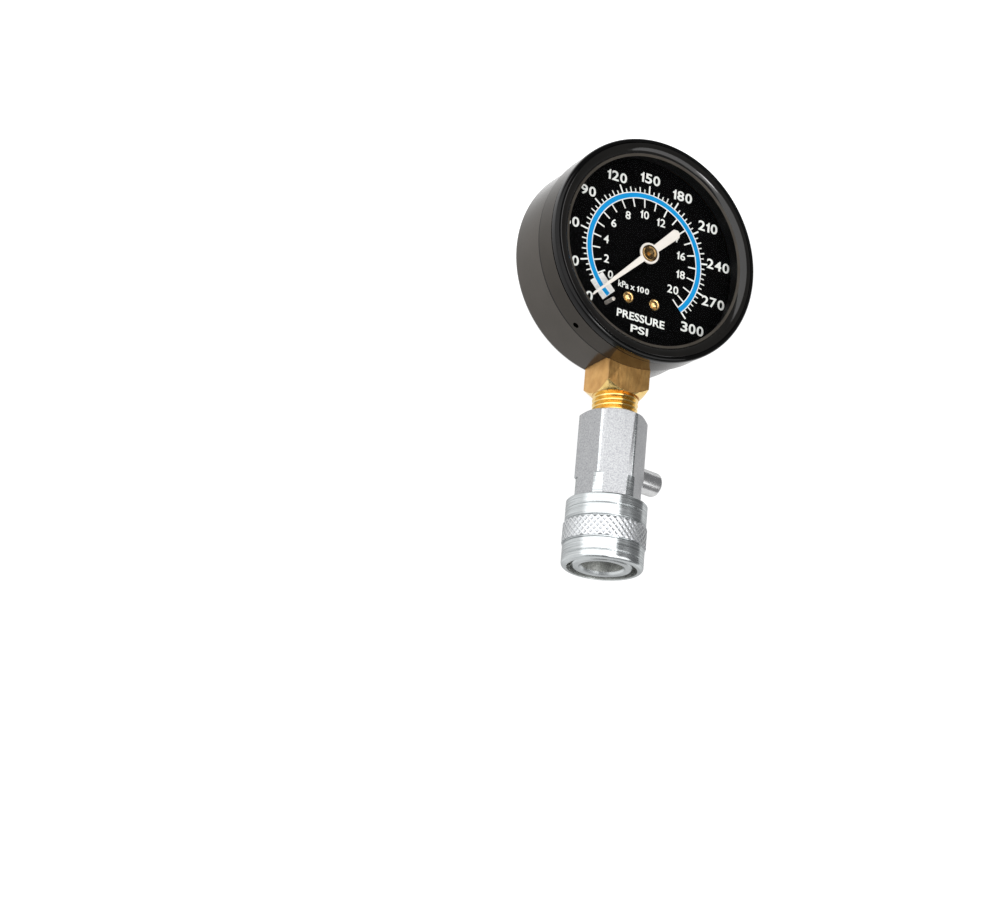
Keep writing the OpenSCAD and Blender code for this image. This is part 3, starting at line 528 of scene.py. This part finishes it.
def lettering(bm, words, centre, height, width, weight):
    """Printed characters of the given height and width, centred on a point of the dial."""
    curve = bpy.data.curves.new("lettering", "FONT")
    curve.body = words
    curve.size = 1
    curve.offset = weight
    curve.extrude = 0.5
    curve.resolution_u = LETTER_CURVE_STEPS
    holder = bpy.data.objects.new("lettering", curve)
    bpy.context.scene.collection.objects.link(holder)
    seen = bpy.context.evaluated_depsgraph_get()
    mesh = bpy.data.meshes.new_from_object(holder.evaluated_get(seen))
    bpy.data.objects.remove(holder)
    bpy.data.curves.remove(curve)
    xs = [v.co.x for v in mesh.vertices]
    ys = [v.co.y for v in mesh.vertices]
    to_centre = Matrix.Translation((-(max(xs) + min(xs)) / 2, -(max(ys) + min(ys)) / 2, 0))
    across = width * MM / (max(xs) - min(xs))
    up = height * MM / (max(ys) - min(ys))
    there = Matrix.Translation((centre[0] * MM, centre[1] * MM, (WHITE_Z + INK / 2) * MM))
    mesh.transform(there @ Matrix.Diagonal((across, up, INK * MM, 1)) @ to_centre)
    bm.from_mesh(mesh)
    bpy.data.meshes.remove(mesh)


def figure_one(bm, left, middle, height, width):
    """A printed one with a flag, from its left edge and its middle height."""
    places = [(left + u * width, middle + (v - 0.5) * height) for u, v in ONE]
    corners = [bm.verts.new((x * MM, y * MM, WHITE_Z * MM)) for x, y in places]
    raised = bmesh.ops.extrude_face_region(bm, geom=[bm.faces.new(corners)])
    top = [v for v in raised["geom"] if isinstance(v, bmesh.types.BMVert)]
    bmesh.ops.translate(bm, verts=top, vec=(0, 0, INK * MM))


def number(bm, digits, centre, height, width, gap, weight):
    """A number of even digits, centred on a point of the dial."""
    widths = [width * (ONE_WIDTH if digit == "1" else 1.0) for digit in digits]
    left = centre[0] - (sum(widths) + gap * (len(digits) - 1)) / 2
    for digit, wide in zip(digits, widths):
        if digit == "1":
            figure_one(bm, left, centre[1], height, wide)
        else:
            lettering(bm, digit, (left + wide / 2, centre[1]), height, wide, weight)
        left += wide + gap


def zero_field():
    """The grey field behind the zero mark, with rounded corners."""
    bm = bmesh.new()
    inner, outer = FIELD_AT - FIELD_LONG / 2, FIELD_AT + FIELD_LONG / 2
    bar_of_ink(bm, FIELD_TURN, inner, outer, FIELD_WIDE, FIELD_Z)
    upright = [e for e in bm.edges if abs(e.verts[0].co.z - e.verts[1].co.z) > INK * MM / 2]
    bmesh.ops.bevel(
        bm, geom=upright, offset=FIELD_CORNER * MM, segments=3, profile=0.5, affect="EDGES", material=-1
    )
    return bm


def scale_marks():
    """The white arc with its ticks: pressures outside, bars and the full mark inside."""
    bm = bmesh.new()
    arc_band(bm, ARC_IN, ARC_OUT, WHITE_Z)
    for psi in range(0, FULL_PSI + 1, TICK_EVERY):
        width = NUMBER_TICK_W if psi % NUMBER_EVERY == 0 else TICK_W
        bar_of_ink(bm, at_psi(psi), ARC_OUT - TICK_LAP, ARC_OUT + tick_length(psi), width, WHITE_Z)
    for psi in [bar * PSI_PER_BAR for bar in range(LAST_BAR + 1)] + [FULL_PSI]:
        bar_of_ink(bm, at_psi(psi), BAR_TICK_IN, ARC_IN + TICK_LAP, BAR_TICK_W, WHITE_Z)
    bmesh.ops.recalc_face_normals(bm, faces=bm.faces)
    return bm


def pressure_arc():
    """The blue band of the scale."""
    bm = bmesh.new()
    arc_band(bm, BLUE_IN, BLUE_OUT, BLUE_Z)
    bmesh.ops.recalc_face_normals(bm, faces=bm.faces)
    return bm


def dial_numerals():
    """The numbers of both scales, the factor of the inner one, and the words."""
    bm = bmesh.new()
    for psi, radius in OUTER_RADII.items():
        number(bm, str(psi), polar(radius, at_psi(psi)), *OUTER_DIGITS)
    number(bm, "0", polar(INNER_ZERO_R, ZERO_AT - INNER_ZERO_TURN), *INNER_ZERO_DIGIT)
    for bar in range(INNER_EVERY, LAST_BAR + 1, INNER_EVERY):
        radius = INNER_LOW_R if bar < INNER_LOW_BELOW else INNER_R
        number(bm, str(bar), polar(radius, at_psi(bar * PSI_PER_BAR)), *INNER_DIGITS)
    number(bm, "100", FACTOR_AT, *FACTOR_DIGITS)
    for words, (centre, height, width) in WORDS.items():
        lettering(bm, words, centre, height, width, WORD_WEIGHT)
    bmesh.ops.recalc_face_normals(bm, faces=bm.faces)
    return bm


piece("zero_field", zero_field(), "gauge", [ink_grey])
piece("scale_marks", scale_marks(), "gauge", [ink_white])
piece("pressure_arc", pressure_arc(), "gauge", [ink_blue])
piece("dial_numerals", dial_numerals(), "gauge", [ink_white])


# Case and dial pieces

CASE_STEPS, BUSH_STEPS, SCREW_STEPS = 180, 64, 40

# A dark ring fills the seam as painted shade, standing for the shadow in the gap between cup and band, with a
# little room under the band
SHADE_RING_IN, SHADE_RING_OUT, SHADE_RING_LOW = 33.45, 33.95, 16.1
SHADE_RING_TOP = start_of("case_band", Z) - 0.02

# The bezel as the frame gives it: its radius, its top and its lower end
BEZEL_R = end_of("bezel", X)
BEZEL_TOP, BEZEL_LOW = end_of("bezel", Z), start_of("bezel", Z)

# The skirt inside the band, and the foot that stands out over the band
SKIRT_IN, SKIRT_OUT = 31.2, 32.75
FOOT_Z, FOOT_CHAMFER = 24.1, 0.4

# The outer rim's rounding, and the groove between it and the bead
RIM_ROUND, RIM_END = 1.1, 100
GROOVE_R, GROOVE_HALF, GROOVE_DEPTH = 32.95, 0.04, 0.38

# The round bead: radius, top, middle, and the angles where its rounding starts and ends
BEAD_R, BEAD_TOP, BEAD_AT = 2.505, 27.1, 32.15
BEAD_START, BEAD_END, BEAD_STEPS = 73.5, 149, 20

# The thin lip over the lens, and the pocket under it that holds the lens
LIP_R, LIP_TOP, LIP_UNDER = 29.2, 25.72, 25.6
POCKET_R, POCKET_LOW = 30.7, 24.6

# Where the bead's polish starts and ends, and the height over which faces look up
POLISH_OUT, POLISH_IN = GROOVE_R - 0.1, 29.95
LOOKS_UP = LIP_UNDER + 0.05

# The bush's section: bore and barrel, collar under the pointer, then a head with a rolled edge
bush_profile = [
    (0.65, 20.3), (1.6, 20.3), (1.6, 21.8), (2.0, 21.8), (2.0, 22.5), (1.6, 22.5), (1.6, 23.0),
    (2.6, 23.0), (2.58, 23.16), (2.48, 23.32), (2.3, 23.44), (2.08, 23.48), (1.86, 23.42),
    (1.6, 23.3), (1.2, 23.22), (0.65, 23.2),
]

# A dial screw's section: shank, rim with a rounded edge, a groove, and the domed middle
screw_profile = [
    (0, 16.6), (0.95, 16.6), (0.95, 20.0), (1.8, 20.0), (1.8, 20.25), (1.7, 20.4), (1.5, 20.46),
    (1.3, 20.4), (1.16, 20.3), (1.05, 20.42), (0.85, 20.68), (0.5, 20.86), (0, 20.92),
]
SCREW_X, SCREW_Y = 4.5, -14.35


def front_band():
    """The band with a dark ring under it, painted shade for the shadow in the seam."""
    bm = copy_of("case_band")
    shade_ring_profile = [(SHADE_RING_IN, SHADE_RING_LOW), (SHADE_RING_OUT, SHADE_RING_LOW), (SHADE_RING_OUT, SHADE_RING_TOP), (SHADE_RING_IN, SHADE_RING_TOP)]
    joined(bm, turned(shade_ring_profile, CASE_STEPS), 1)
    return bm


def bezel_ring():
    """The bezel from its skirt over foot, rim, groove, bead and lip to the lens pocket."""
    groove_z = BEZEL_TOP - GROOVE_DEPTH
    bm = turned(
        [(SKIRT_IN, BEZEL_LOW), (SKIRT_OUT, BEZEL_LOW), (SKIRT_OUT, FOOT_Z)]
        + [(BEZEL_R - FOOT_CHAMFER, FOOT_Z), (BEZEL_R, FOOT_Z + FOOT_CHAMFER)]
        + rounded((BEZEL_R - RIM_ROUND, BEZEL_TOP - RIM_ROUND), RIM_ROUND, 0, RIM_END)
        + [(GROOVE_R + GROOVE_HALF, groove_z), (GROOVE_R - GROOVE_HALF, groove_z)]
        + rounded((BEAD_AT, BEAD_TOP - BEAD_R), BEAD_R, BEAD_START, BEAD_END, BEAD_STEPS)
        + [(LIP_R, LIP_TOP), (LIP_R, LIP_UNDER), (POCKET_R, LIP_UNDER)]
        + [(POCKET_R, POCKET_LOW), (SKIRT_IN, POCKET_LOW)],
        CASE_STEPS,
    )
    for face in bm.faces:
        middle = face.calc_center_median()
        if middle.z > LOOKS_UP * MM and radius_of(middle) < POLISH_OUT:
            face.material_index = 1 if radius_of(middle) > POLISH_IN else 2
    return bm


def dial_screw_heads():
    """The two screws that hold the dial."""
    bm = bmesh.new()
    for side in (-1, 1):
        screw = turned(screw_profile, SCREW_STEPS, closed=False)
        screw.transform(Matrix.Translation((side * SCREW_X * MM, SCREW_Y * MM, 0)))
        joined(bm, screw)
    return bm


bush = turned(bush_profile, BUSH_STEPS)
pointer = copy_of("pointer")
bezel_finishes = [gloss_black, bead_black, lip_black]
piece("rear_cup", copy_of("case_cup"), "gauge", [case_black], ["case_cup"], edge=0.15)
# The band's second finish, matte black, colours the ring of painted shade in the seam
piece("front_band", front_band(), "gauge", [band_black, matte_black], ["case_band"], edge=0.12)
piece("bezel_ring", bezel_ring(), "gauge", bezel_finishes, ["bezel"], edge=0.035)
piece("lens_seat_ring", copy_of("lens_ring"), "gauge", [matte_black], ["lens_ring"], edge=0.12)
piece("white_pointer", pointer, "pointer_set", [pointer_cream], ["pointer"], edge=0.08)
piece("brass_bush", bush, "pointer_set", [dull_brass], ["pointer_bush"])
piece("dial_screw_heads", dial_screw_heads(), "gauge", [bright_brass], ["dial_screws"])
piece("pointer_stop", copy_of("stop_pin"), "gauge", [pin_steel], ["stop_pin"], edge=0.2)


# Socket with its pipe thread

# The turned cone is known by how far its faces lean down the stem, and lies near the block's end
CONE_LEAN = (-0.95, -0.3)
CONE_LONG = 2.7

# The pipe thread: its crests lie between two shares of the pitch, and its radius loses 1 mm in 32 mm
PITCH = 1.411
THREAD_R, ROOT_R = 6.85, 5.85
CREST_START, CREST_END = 0.38, 0.62
TAPER = 32

# Steps in a turn of the thread, and how near its points are one
TURN_STEPS, THREAD_NEAR = 48, 0.002

# The thread is wound from before the block's end and trimmed a little way inside the block
EARLY_TURNS, SPARE_TURNS = 2, 3
THREAD_LAP = 0.05


def wrench_block():
    """The socket above its thread, with the turned cone in a finish of its own."""
    bm = copy_of("socket")
    trim(bm, on_stem @ Vector((0, 0, BLOCK_END * MM)), (0, -1, 0))
    merge(bm, CUT_NEAR)
    fill_holes(bm)
    for face in bm.faces:
        leans = CONE_LEAN[0] < face.normal.y < CONE_LEAN[1]
        near_end = face.calc_center_median().y < (CONE_LONG - BLOCK_END) * MM
        face.material_index = 1 if leans and near_end else 0
    return bm


def pipe_thread():
    """One turn of the thread's outline, wound along the stem, trimmed at both ends and tapered."""
    bm = bmesh.new()
    turns = int((THREAD_END - BLOCK_END) / PITCH) + SPARE_TURNS
    start = BLOCK_END - EARLY_TURNS * PITCH
    outline = [(ROOT_R, 0), (THREAD_R, CREST_START * PITCH), (THREAD_R, CREST_END * PITCH), (ROOT_R, PITCH)]
    points = [bm.verts.new((r * MM, 0, (start + h) * MM)) for r, h in outline]
    lines = [bm.edges.new(pair) for pair in zip(points, points[1:])]
    bmesh.ops.spin(
        bm,
        geom=points + lines,
        cent=(0, 0, 0),
        axis=(0, 0, 1),
        dvec=(0, 0, PITCH / TURN_STEPS * MM),
        angle=math.tau * turns,
        steps=TURN_STEPS * turns,
    )
    merge(bm, THREAD_NEAR)
    trim(bm, (0, 0, (BLOCK_END - THREAD_LAP) * MM), (0, 0, -1))
    trim(bm, (0, 0, THREAD_END * MM), (0, 0, 1))
    for point in bm.verts:
        slim = 1 - (point.co.z / MM - BLOCK_END) / TAPER / THREAD_R
        point.co.x *= slim
        point.co.y *= slim
    fill_holes(bm)
    bmesh.ops.recalc_face_normals(bm, faces=bm.faces)
    bm.transform(on_stem)
    return bm


block_finishes = [block_brass, thread_brass]
piece("wrench_block", wrench_block(), "gauge", block_finishes, ["socket"], edge=0.2)
piece("pipe_thread", pipe_thread(), "gauge", [thread_brass], ["socket"])
piece("back_screws", copy_of("socket_screws"), "gauge", [steel], ["socket_screws"], edge=0.08)


# Coupler, sleeve and bleed button

SLEEVE_STEPS, BUTTON_STEPS = 160, 64

# A face is one of the hexagon's flats within this, both in its lean and in millimetres
FLAT_WITHIN = 0.02

# A face of the coupler whose plane lies this far past the axis looks inwards or back at the gauge
INWARDS = -1.0

# The sleeve as the frame gives it: where it starts and ends down the stem, and its widest radius
SLEEVE_START, SLEEVE_END = -end_of("sleeve", Y), -start_of("sleeve", Y)
KNURL_R = end_of("sleeve", X)

# The sleeve's outside: radii behind the knurl, under it and in front of it, chamfer and mouth's rounding
REAR_R, SEAT_R, FRONT_R = 11.9, 11.7, 12.0
REAR_CHAMFER, MOUTH_ROUND, MOUTH_STEPS = 0.4, 1.2, 10

# Fine rings turned into the sleeve, as deep as half their width
RING_DEPTH = 0.25
REAR_RING, FRONT_RING = 78.1, 92.2

# The sleeve's inside: the spring's pocket, the bore that presses the balls, and the mouth
SPRING_R, BORE_R, MOUTH_R = 9.9, 8.95, 10.3
BORE_START, BORE_END = 84.0, 89.5
INSIDE_R = MOUTH_R + 0.02

# The knurl's place down the stem, its lap over the seat, and the narrow necks beside it
KNURL_START, KNURL_END = 82.1, 87.9
KNURL_LAP, NECK_LONG = 0.05, 0.7
REAR_NECK, FRONT_NECK = (11.55, KNURL_START - 0.35), (11.6, KNURL_END + 0.3)

# The knurl's diamonds round the sleeve and along it, its ridges and its pits
KNURL_ROUND, KNURL_ROWS = 40, 3
RIDGE_HALF, PIT_WALL, PIT_DEPTH = 0.26, 0.28, 0.26

# How near the diamonds' corners are one, the inner wall as a share of the radius, and the angle of a corner
DIAMOND_NEAR, KNURL_FOOT, KNURL_SHARP = 0.06, 0.94, 70

# The bleed button, out from the stem's axis: foot, top, radius, chamfer, rounding, and the dish in its top
BUTTON_FOOT, BUTTON_TOP, BUTTON_R = 7.6, 18.1, 3.65
BUTTON_CHAMFER, BUTTON_ROUND = 0.3, 1.0
DISH_R, DISH_DEPTH = 1.4, 0.04

# The hole in the button that takes the poppet's stem
POPPET_R, POPPET_END = 1.05, 11.05


def hex_coupler():
    """The coupler's body: turned, with drawn flats, and dull inside and at its rear end."""
    bm = copy_of("coupler_body")
    axis = Vector((0, 0, STEM_Z * MM))
    for face in bm.faces:
        out = face.normal.dot(face.calc_center_median() - axis) / MM
        drawn = abs(face.normal.y) < FLAT_WITHIN and abs(out - HEX_FLAT) < FLAT_WITHIN
        face.material_index = 1 if drawn else 2 if out < INWARDS else 0
    return bm


def ring(radius, place):
    """Points of a fine ring turned into the sleeve."""
    return [(radius, place - RING_DEPTH), (radius - RING_DEPTH, place), (radius, place + RING_DEPTH)]


def sliding_sleeve():
    """The sleeve without its knurl, dull inside."""
    bm = turned(
        [(SPRING_R, SLEEVE_START), (REAR_R - REAR_CHAMFER, SLEEVE_START)]
        + [(REAR_R, SLEEVE_START + REAR_CHAMFER)]
        + ring(REAR_R, REAR_RING)
        + [(REAR_R, KNURL_START - NECK_LONG), REAR_NECK, (SEAT_R, KNURL_START + KNURL_LAP)]
        + [(SEAT_R, KNURL_END - KNURL_LAP), FRONT_NECK, (FRONT_R, KNURL_END + NECK_LONG)]
        + ring(FRONT_R, FRONT_RING)
        + rounded((FRONT_R - MOUTH_ROUND, SLEEVE_END - MOUTH_ROUND), MOUTH_ROUND, 0, 90, MOUTH_STEPS)
        + [(MOUTH_R, SLEEVE_END), (MOUTH_R, BORE_END), (BORE_R, BORE_END), (BORE_R, BORE_START)]
        + [(SPRING_R, BORE_START)],
        SLEEVE_STEPS,
    )
    for face in bm.faces:
        face.material_index = 1 if radius_of(face.calc_center_median()) < INSIDE_R else 0
    bm.transform(on_stem)
    return bm


def sleeve_knurl():
    """Crossing ridges round the sleeve, with a small pit in each diamond between them, darkened as painted shade.
    """
    bm = bmesh.new()
    half_turn = math.pi / KNURL_ROUND
    half_long = (KNURL_END - KNURL_START) / (2 * KNURL_ROWS)
    size = Matrix.Diagonal((half_long * MM, KNURL_R * math.tan(half_turn) * MM, 1, 1))
    for row in range(2 * KNURL_ROWS + 1):
        place = (
            Matrix.Rotation(half_turn * (row % 2), 4, "Z")
            @ Matrix.Translation((KNURL_R * MM, 0, (KNURL_START + half_long * row) * MM))
            @ Matrix.Rotation(math.pi / 2, 4, "Y")
        )
        bmesh.ops.create_circle(bm, cap_ends=True, segments=4, radius=1, matrix=place @ size)
    bmesh.ops.spin(
        bm,
        geom=bm.verts[:] + bm.edges[:] + bm.faces[:],
        cent=(0, 0, 0),
        axis=(0, 0, 1),
        angle=math.tau - 2 * half_turn,
        steps=KNURL_ROUND - 1,
        use_duplicate=True,
    )
    merge(bm, DIAMOND_NEAR)
    diamonds = bm.faces[:]
    bmesh.ops.inset_individual(bm, faces=diamonds, thickness=RIDGE_HALF * MM)
    pits = bmesh.ops.inset_individual(bm, faces=diamonds, thickness=PIT_WALL * MM, depth=-PIT_DEPTH * MM)
    # The pits' walls and floors take the darker finish: painted shade in the recesses
    for face in pits["faces"] + diamonds:
        face.material_index = 1
    trim(bm, (0, 0, KNURL_START * MM), (0, 0, -1))
    trim(bm, (0, 0, KNURL_END * MM), (0, 0, 1))
    merge(bm, CUT_NEAR)
    walls = bmesh.ops.extrude_edge_only(bm, edges=open_edges(bm))
    foot = [v for v in walls["geom"] if isinstance(v, bmesh.types.BMVert)]
    bmesh.ops.scale(bm, verts=foot, vec=(KNURL_FOOT, KNURL_FOOT, 1))
    bmesh.ops.bridge_loops(bm, edges=open_edges(bm))
    bmesh.ops.recalc_face_normals(bm, faces=bm.faces)
    bm.transform(on_stem)
    return bm


def bleed_push_button():
    """The button on the side of the hexagon, with a faint dish in its top."""
    bm = turned(
        [(0, POPPET_END), (POPPET_R, POPPET_END), (POPPET_R, BUTTON_FOOT)]
        + [(BUTTON_R - BUTTON_CHAMFER, BUTTON_FOOT), (BUTTON_R, BUTTON_FOOT + BUTTON_CHAMFER)]
        + rounded((BUTTON_R - BUTTON_ROUND, BUTTON_TOP - BUTTON_ROUND), BUTTON_ROUND, 0, 90)
        + [(DISH_R, BUTTON_TOP), (0, BUTTON_TOP - DISH_DEPTH)],
        BUTTON_STEPS,
        closed=False,
    )
    bm.transform(on_button)
    return bm


coupler_finishes = [zinc_turned, zinc_flat, zinc_dull]
sleeve_finishes = [zinc_turned, zinc_dull]
knurl = sleeve_knurl()
knurl_finishes = [zinc_knurled, zinc_pit_painted_shade]
piece("hex_coupler", hex_coupler(), "gauge", coupler_finishes, ["coupler_body"], edge=0.22)
piece("snap_clip", copy_of("snap_ring"), "gauge", [steel], ["snap_ring"], edge=0.08)
piece("catch_balls", copy_of("lock_balls"), "gauge", [steel], ["lock_balls"])
piece("mouth_seal", copy_of("plug_seal"), "gauge", [rubber], ["plug_seal"])
piece("sliding_sleeve", sliding_sleeve(), "sleeve_set", sleeve_finishes, ["sleeve"], edge=0.07)
piece("sleeve_knurl", knurl, "sleeve_set", knurl_finishes, ["sleeve"], sharp=KNURL_SHARP)
piece("bleed_push_button", bleed_push_button(), "bleed_set", [zinc_button], ["bleed_button"])


# CAD pieces that stay as they are, each with its finish

STAYING = {
    "lens": lens_clear, "dial": dial_black, "bourdon_tube": bronze, "tube_tip": bright_brass,
    "back_plate": bright_brass, "front_plate": bright_brass, "pillars": bright_brass,
    "movement_screws": steel, "hairspring": bronze, "pinion_arbor": bright_brass,
    "sector_gear": bright_brass, "sector_arbor": steel, "link": steel, "sleeve_spring": steel,
    "bleed_poppet": bright_brass, "bleed_seal": rubber, "bleed_spring": steel,
}
for node, finish in STAYING.items():
    mesh = frame["nodes"][node].data
    mesh.materials.clear()
    mesh.materials.append(finish)


# Floor, light and camera

# The floor lies a little under the case's back near its edge and slopes down to the knurl
FLOOR_HALF = 4
FLOOR_EDGE_Y = 30.8
FLOOR_SLOPE = 0.022517
FLOOR_ROOM = 0.1

# The floor's own light grows in this direction, from low to high between two places in millimetres
GLOW_WAY = (-0.6, 1, 0)
GLOW_LOW, GLOW_HIGH = 0.96, 1.45
GLOW_START, GLOW_STOP = -10, 45

# The room round the studio
ROOM_GREY = (0.25, 0.25, 0.255, 1)

# The camera as fitted to the picture: focal length and width in pixels, place in metres, turn in degrees
FOCAL_PX, PICTURE_PX = 3061.1, 1000
SENSOR_MM = 36
CAMERA_AT = (-0.42373763, -0.3531211, 0.74005677)
CAMERA_TURN = (16.12412237, -29.54009002, 5.7680877)
NEAR_CLIP = 0.01


def lit_floor_finish():
    """White that lights itself, so that no shadow falls on it."""
    finish = surface(
        "lit_white_floor", ((0.09, 0.09, 0.09), (0.11, 0.11, 0.11)),
        gloss=(0.75, 0.85), size=even(8.0), depth=0.0, patch=even(60.0), shine=0.0,
    )
    tree = finish.node_tree
    shader = tree.nodes["Principled BSDF"]
    shader.inputs["Emission Color"].default_value = (1, 1, 1, 1)
    where = add(tree, "TexCoord")
    along = add(tree, "VectorMath", {"operation": "DOT_PRODUCT"})
    along.inputs[1].default_value = GLOW_WAY
    tree.links.new(where.outputs["Object"], along.inputs[0])
    glow = levels(tree, along.outputs["Value"], GLOW_LOW, GLOW_HIGH, GLOW_START * MM, GLOW_STOP * MM)
    tree.links.new(glow, shader.inputs["Emission Strength"])
    return finish


def studio_floor():
    """A wide flat sheet under the gauge."""
    bm = bmesh.new()
    bmesh.ops.create_grid(bm, x_segments=1, y_segments=1, size=FLOOR_HALF)
    tilt = Matrix.Rotation(math.atan(FLOOR_SLOPE), 4, "X")
    bm.transform(Matrix.Translation((0, FLOOR_EDGE_Y * MM, -FLOOR_ROOM * MM)) @ tilt)
    mesh = bpy.data.meshes.new("studio_floor")
    bm.to_mesh(mesh)
    bm.free()
    mesh.materials.append(lit_floor_finish())
    floor = bpy.data.objects.new("studio_floor", mesh)
    bpy.context.scene.collection.objects.link(floor)
    return floor


def softbox(name, place, aim, wide, high, glow):
    """A rectangular studio light that the object mirrors as an even white panel, in metres."""
    light = bpy.data.lights.new(name, "AREA")
    light.shape = "RECTANGLE"
    light.size, light.size_y = wide, high
    light.energy = glow * math.pi * wide * high
    lamp = bpy.data.objects.new(name, light)
    lamp.location = place
    lamp.rotation_euler = (Vector(aim) - Vector(place)).to_track_quat("-Z", "Y").to_euler()
    lamp.visible_camera = False
    bpy.context.scene.collection.objects.link(lamp)


def studio_camera():
    """The camera that gives the view of the picture."""
    lens = bpy.data.cameras.new("camera")
    lens.sensor_fit = "HORIZONTAL"
    lens.sensor_width = SENSOR_MM
    lens.lens = FOCAL_PX / PICTURE_PX * SENSOR_MM
    lens.clip_start = NEAR_CLIP
    camera = bpy.data.objects.new("camera", lens)
    camera.location = CAMERA_AT
    camera.rotation_euler = [math.radians(angle) for angle in CAMERA_TURN]
    bpy.context.scene.collection.objects.link(camera)
    return camera


floor = studio_floor()

softbox("side_softbox", place=(-0.915, 0, 0.863), aim=(-0.14, 0, -0.112), wide=2.62, high=2.78, glow=2.2)
softbox("front_softbox", place=(0.391, -0.717, 1.017), aim=(0, 0, 0), wide=1.5, high=0.9, glow=2.4)
softbox("key_lamp", place=(0.075, -0.464, 1.422), aim=(0, 0, 0), wide=0.3, high=0.25, glow=20.0)

room = bpy.data.worlds.new("studio_room")
room.use_nodes = True
room.node_tree.nodes["Background"].inputs["Color"].default_value = ROOM_GREY
bpy.context.scene.world = room
bpy.context.scene.view_settings.view_transform = "Standard"
bpy.context.scene.camera = studio_camera()
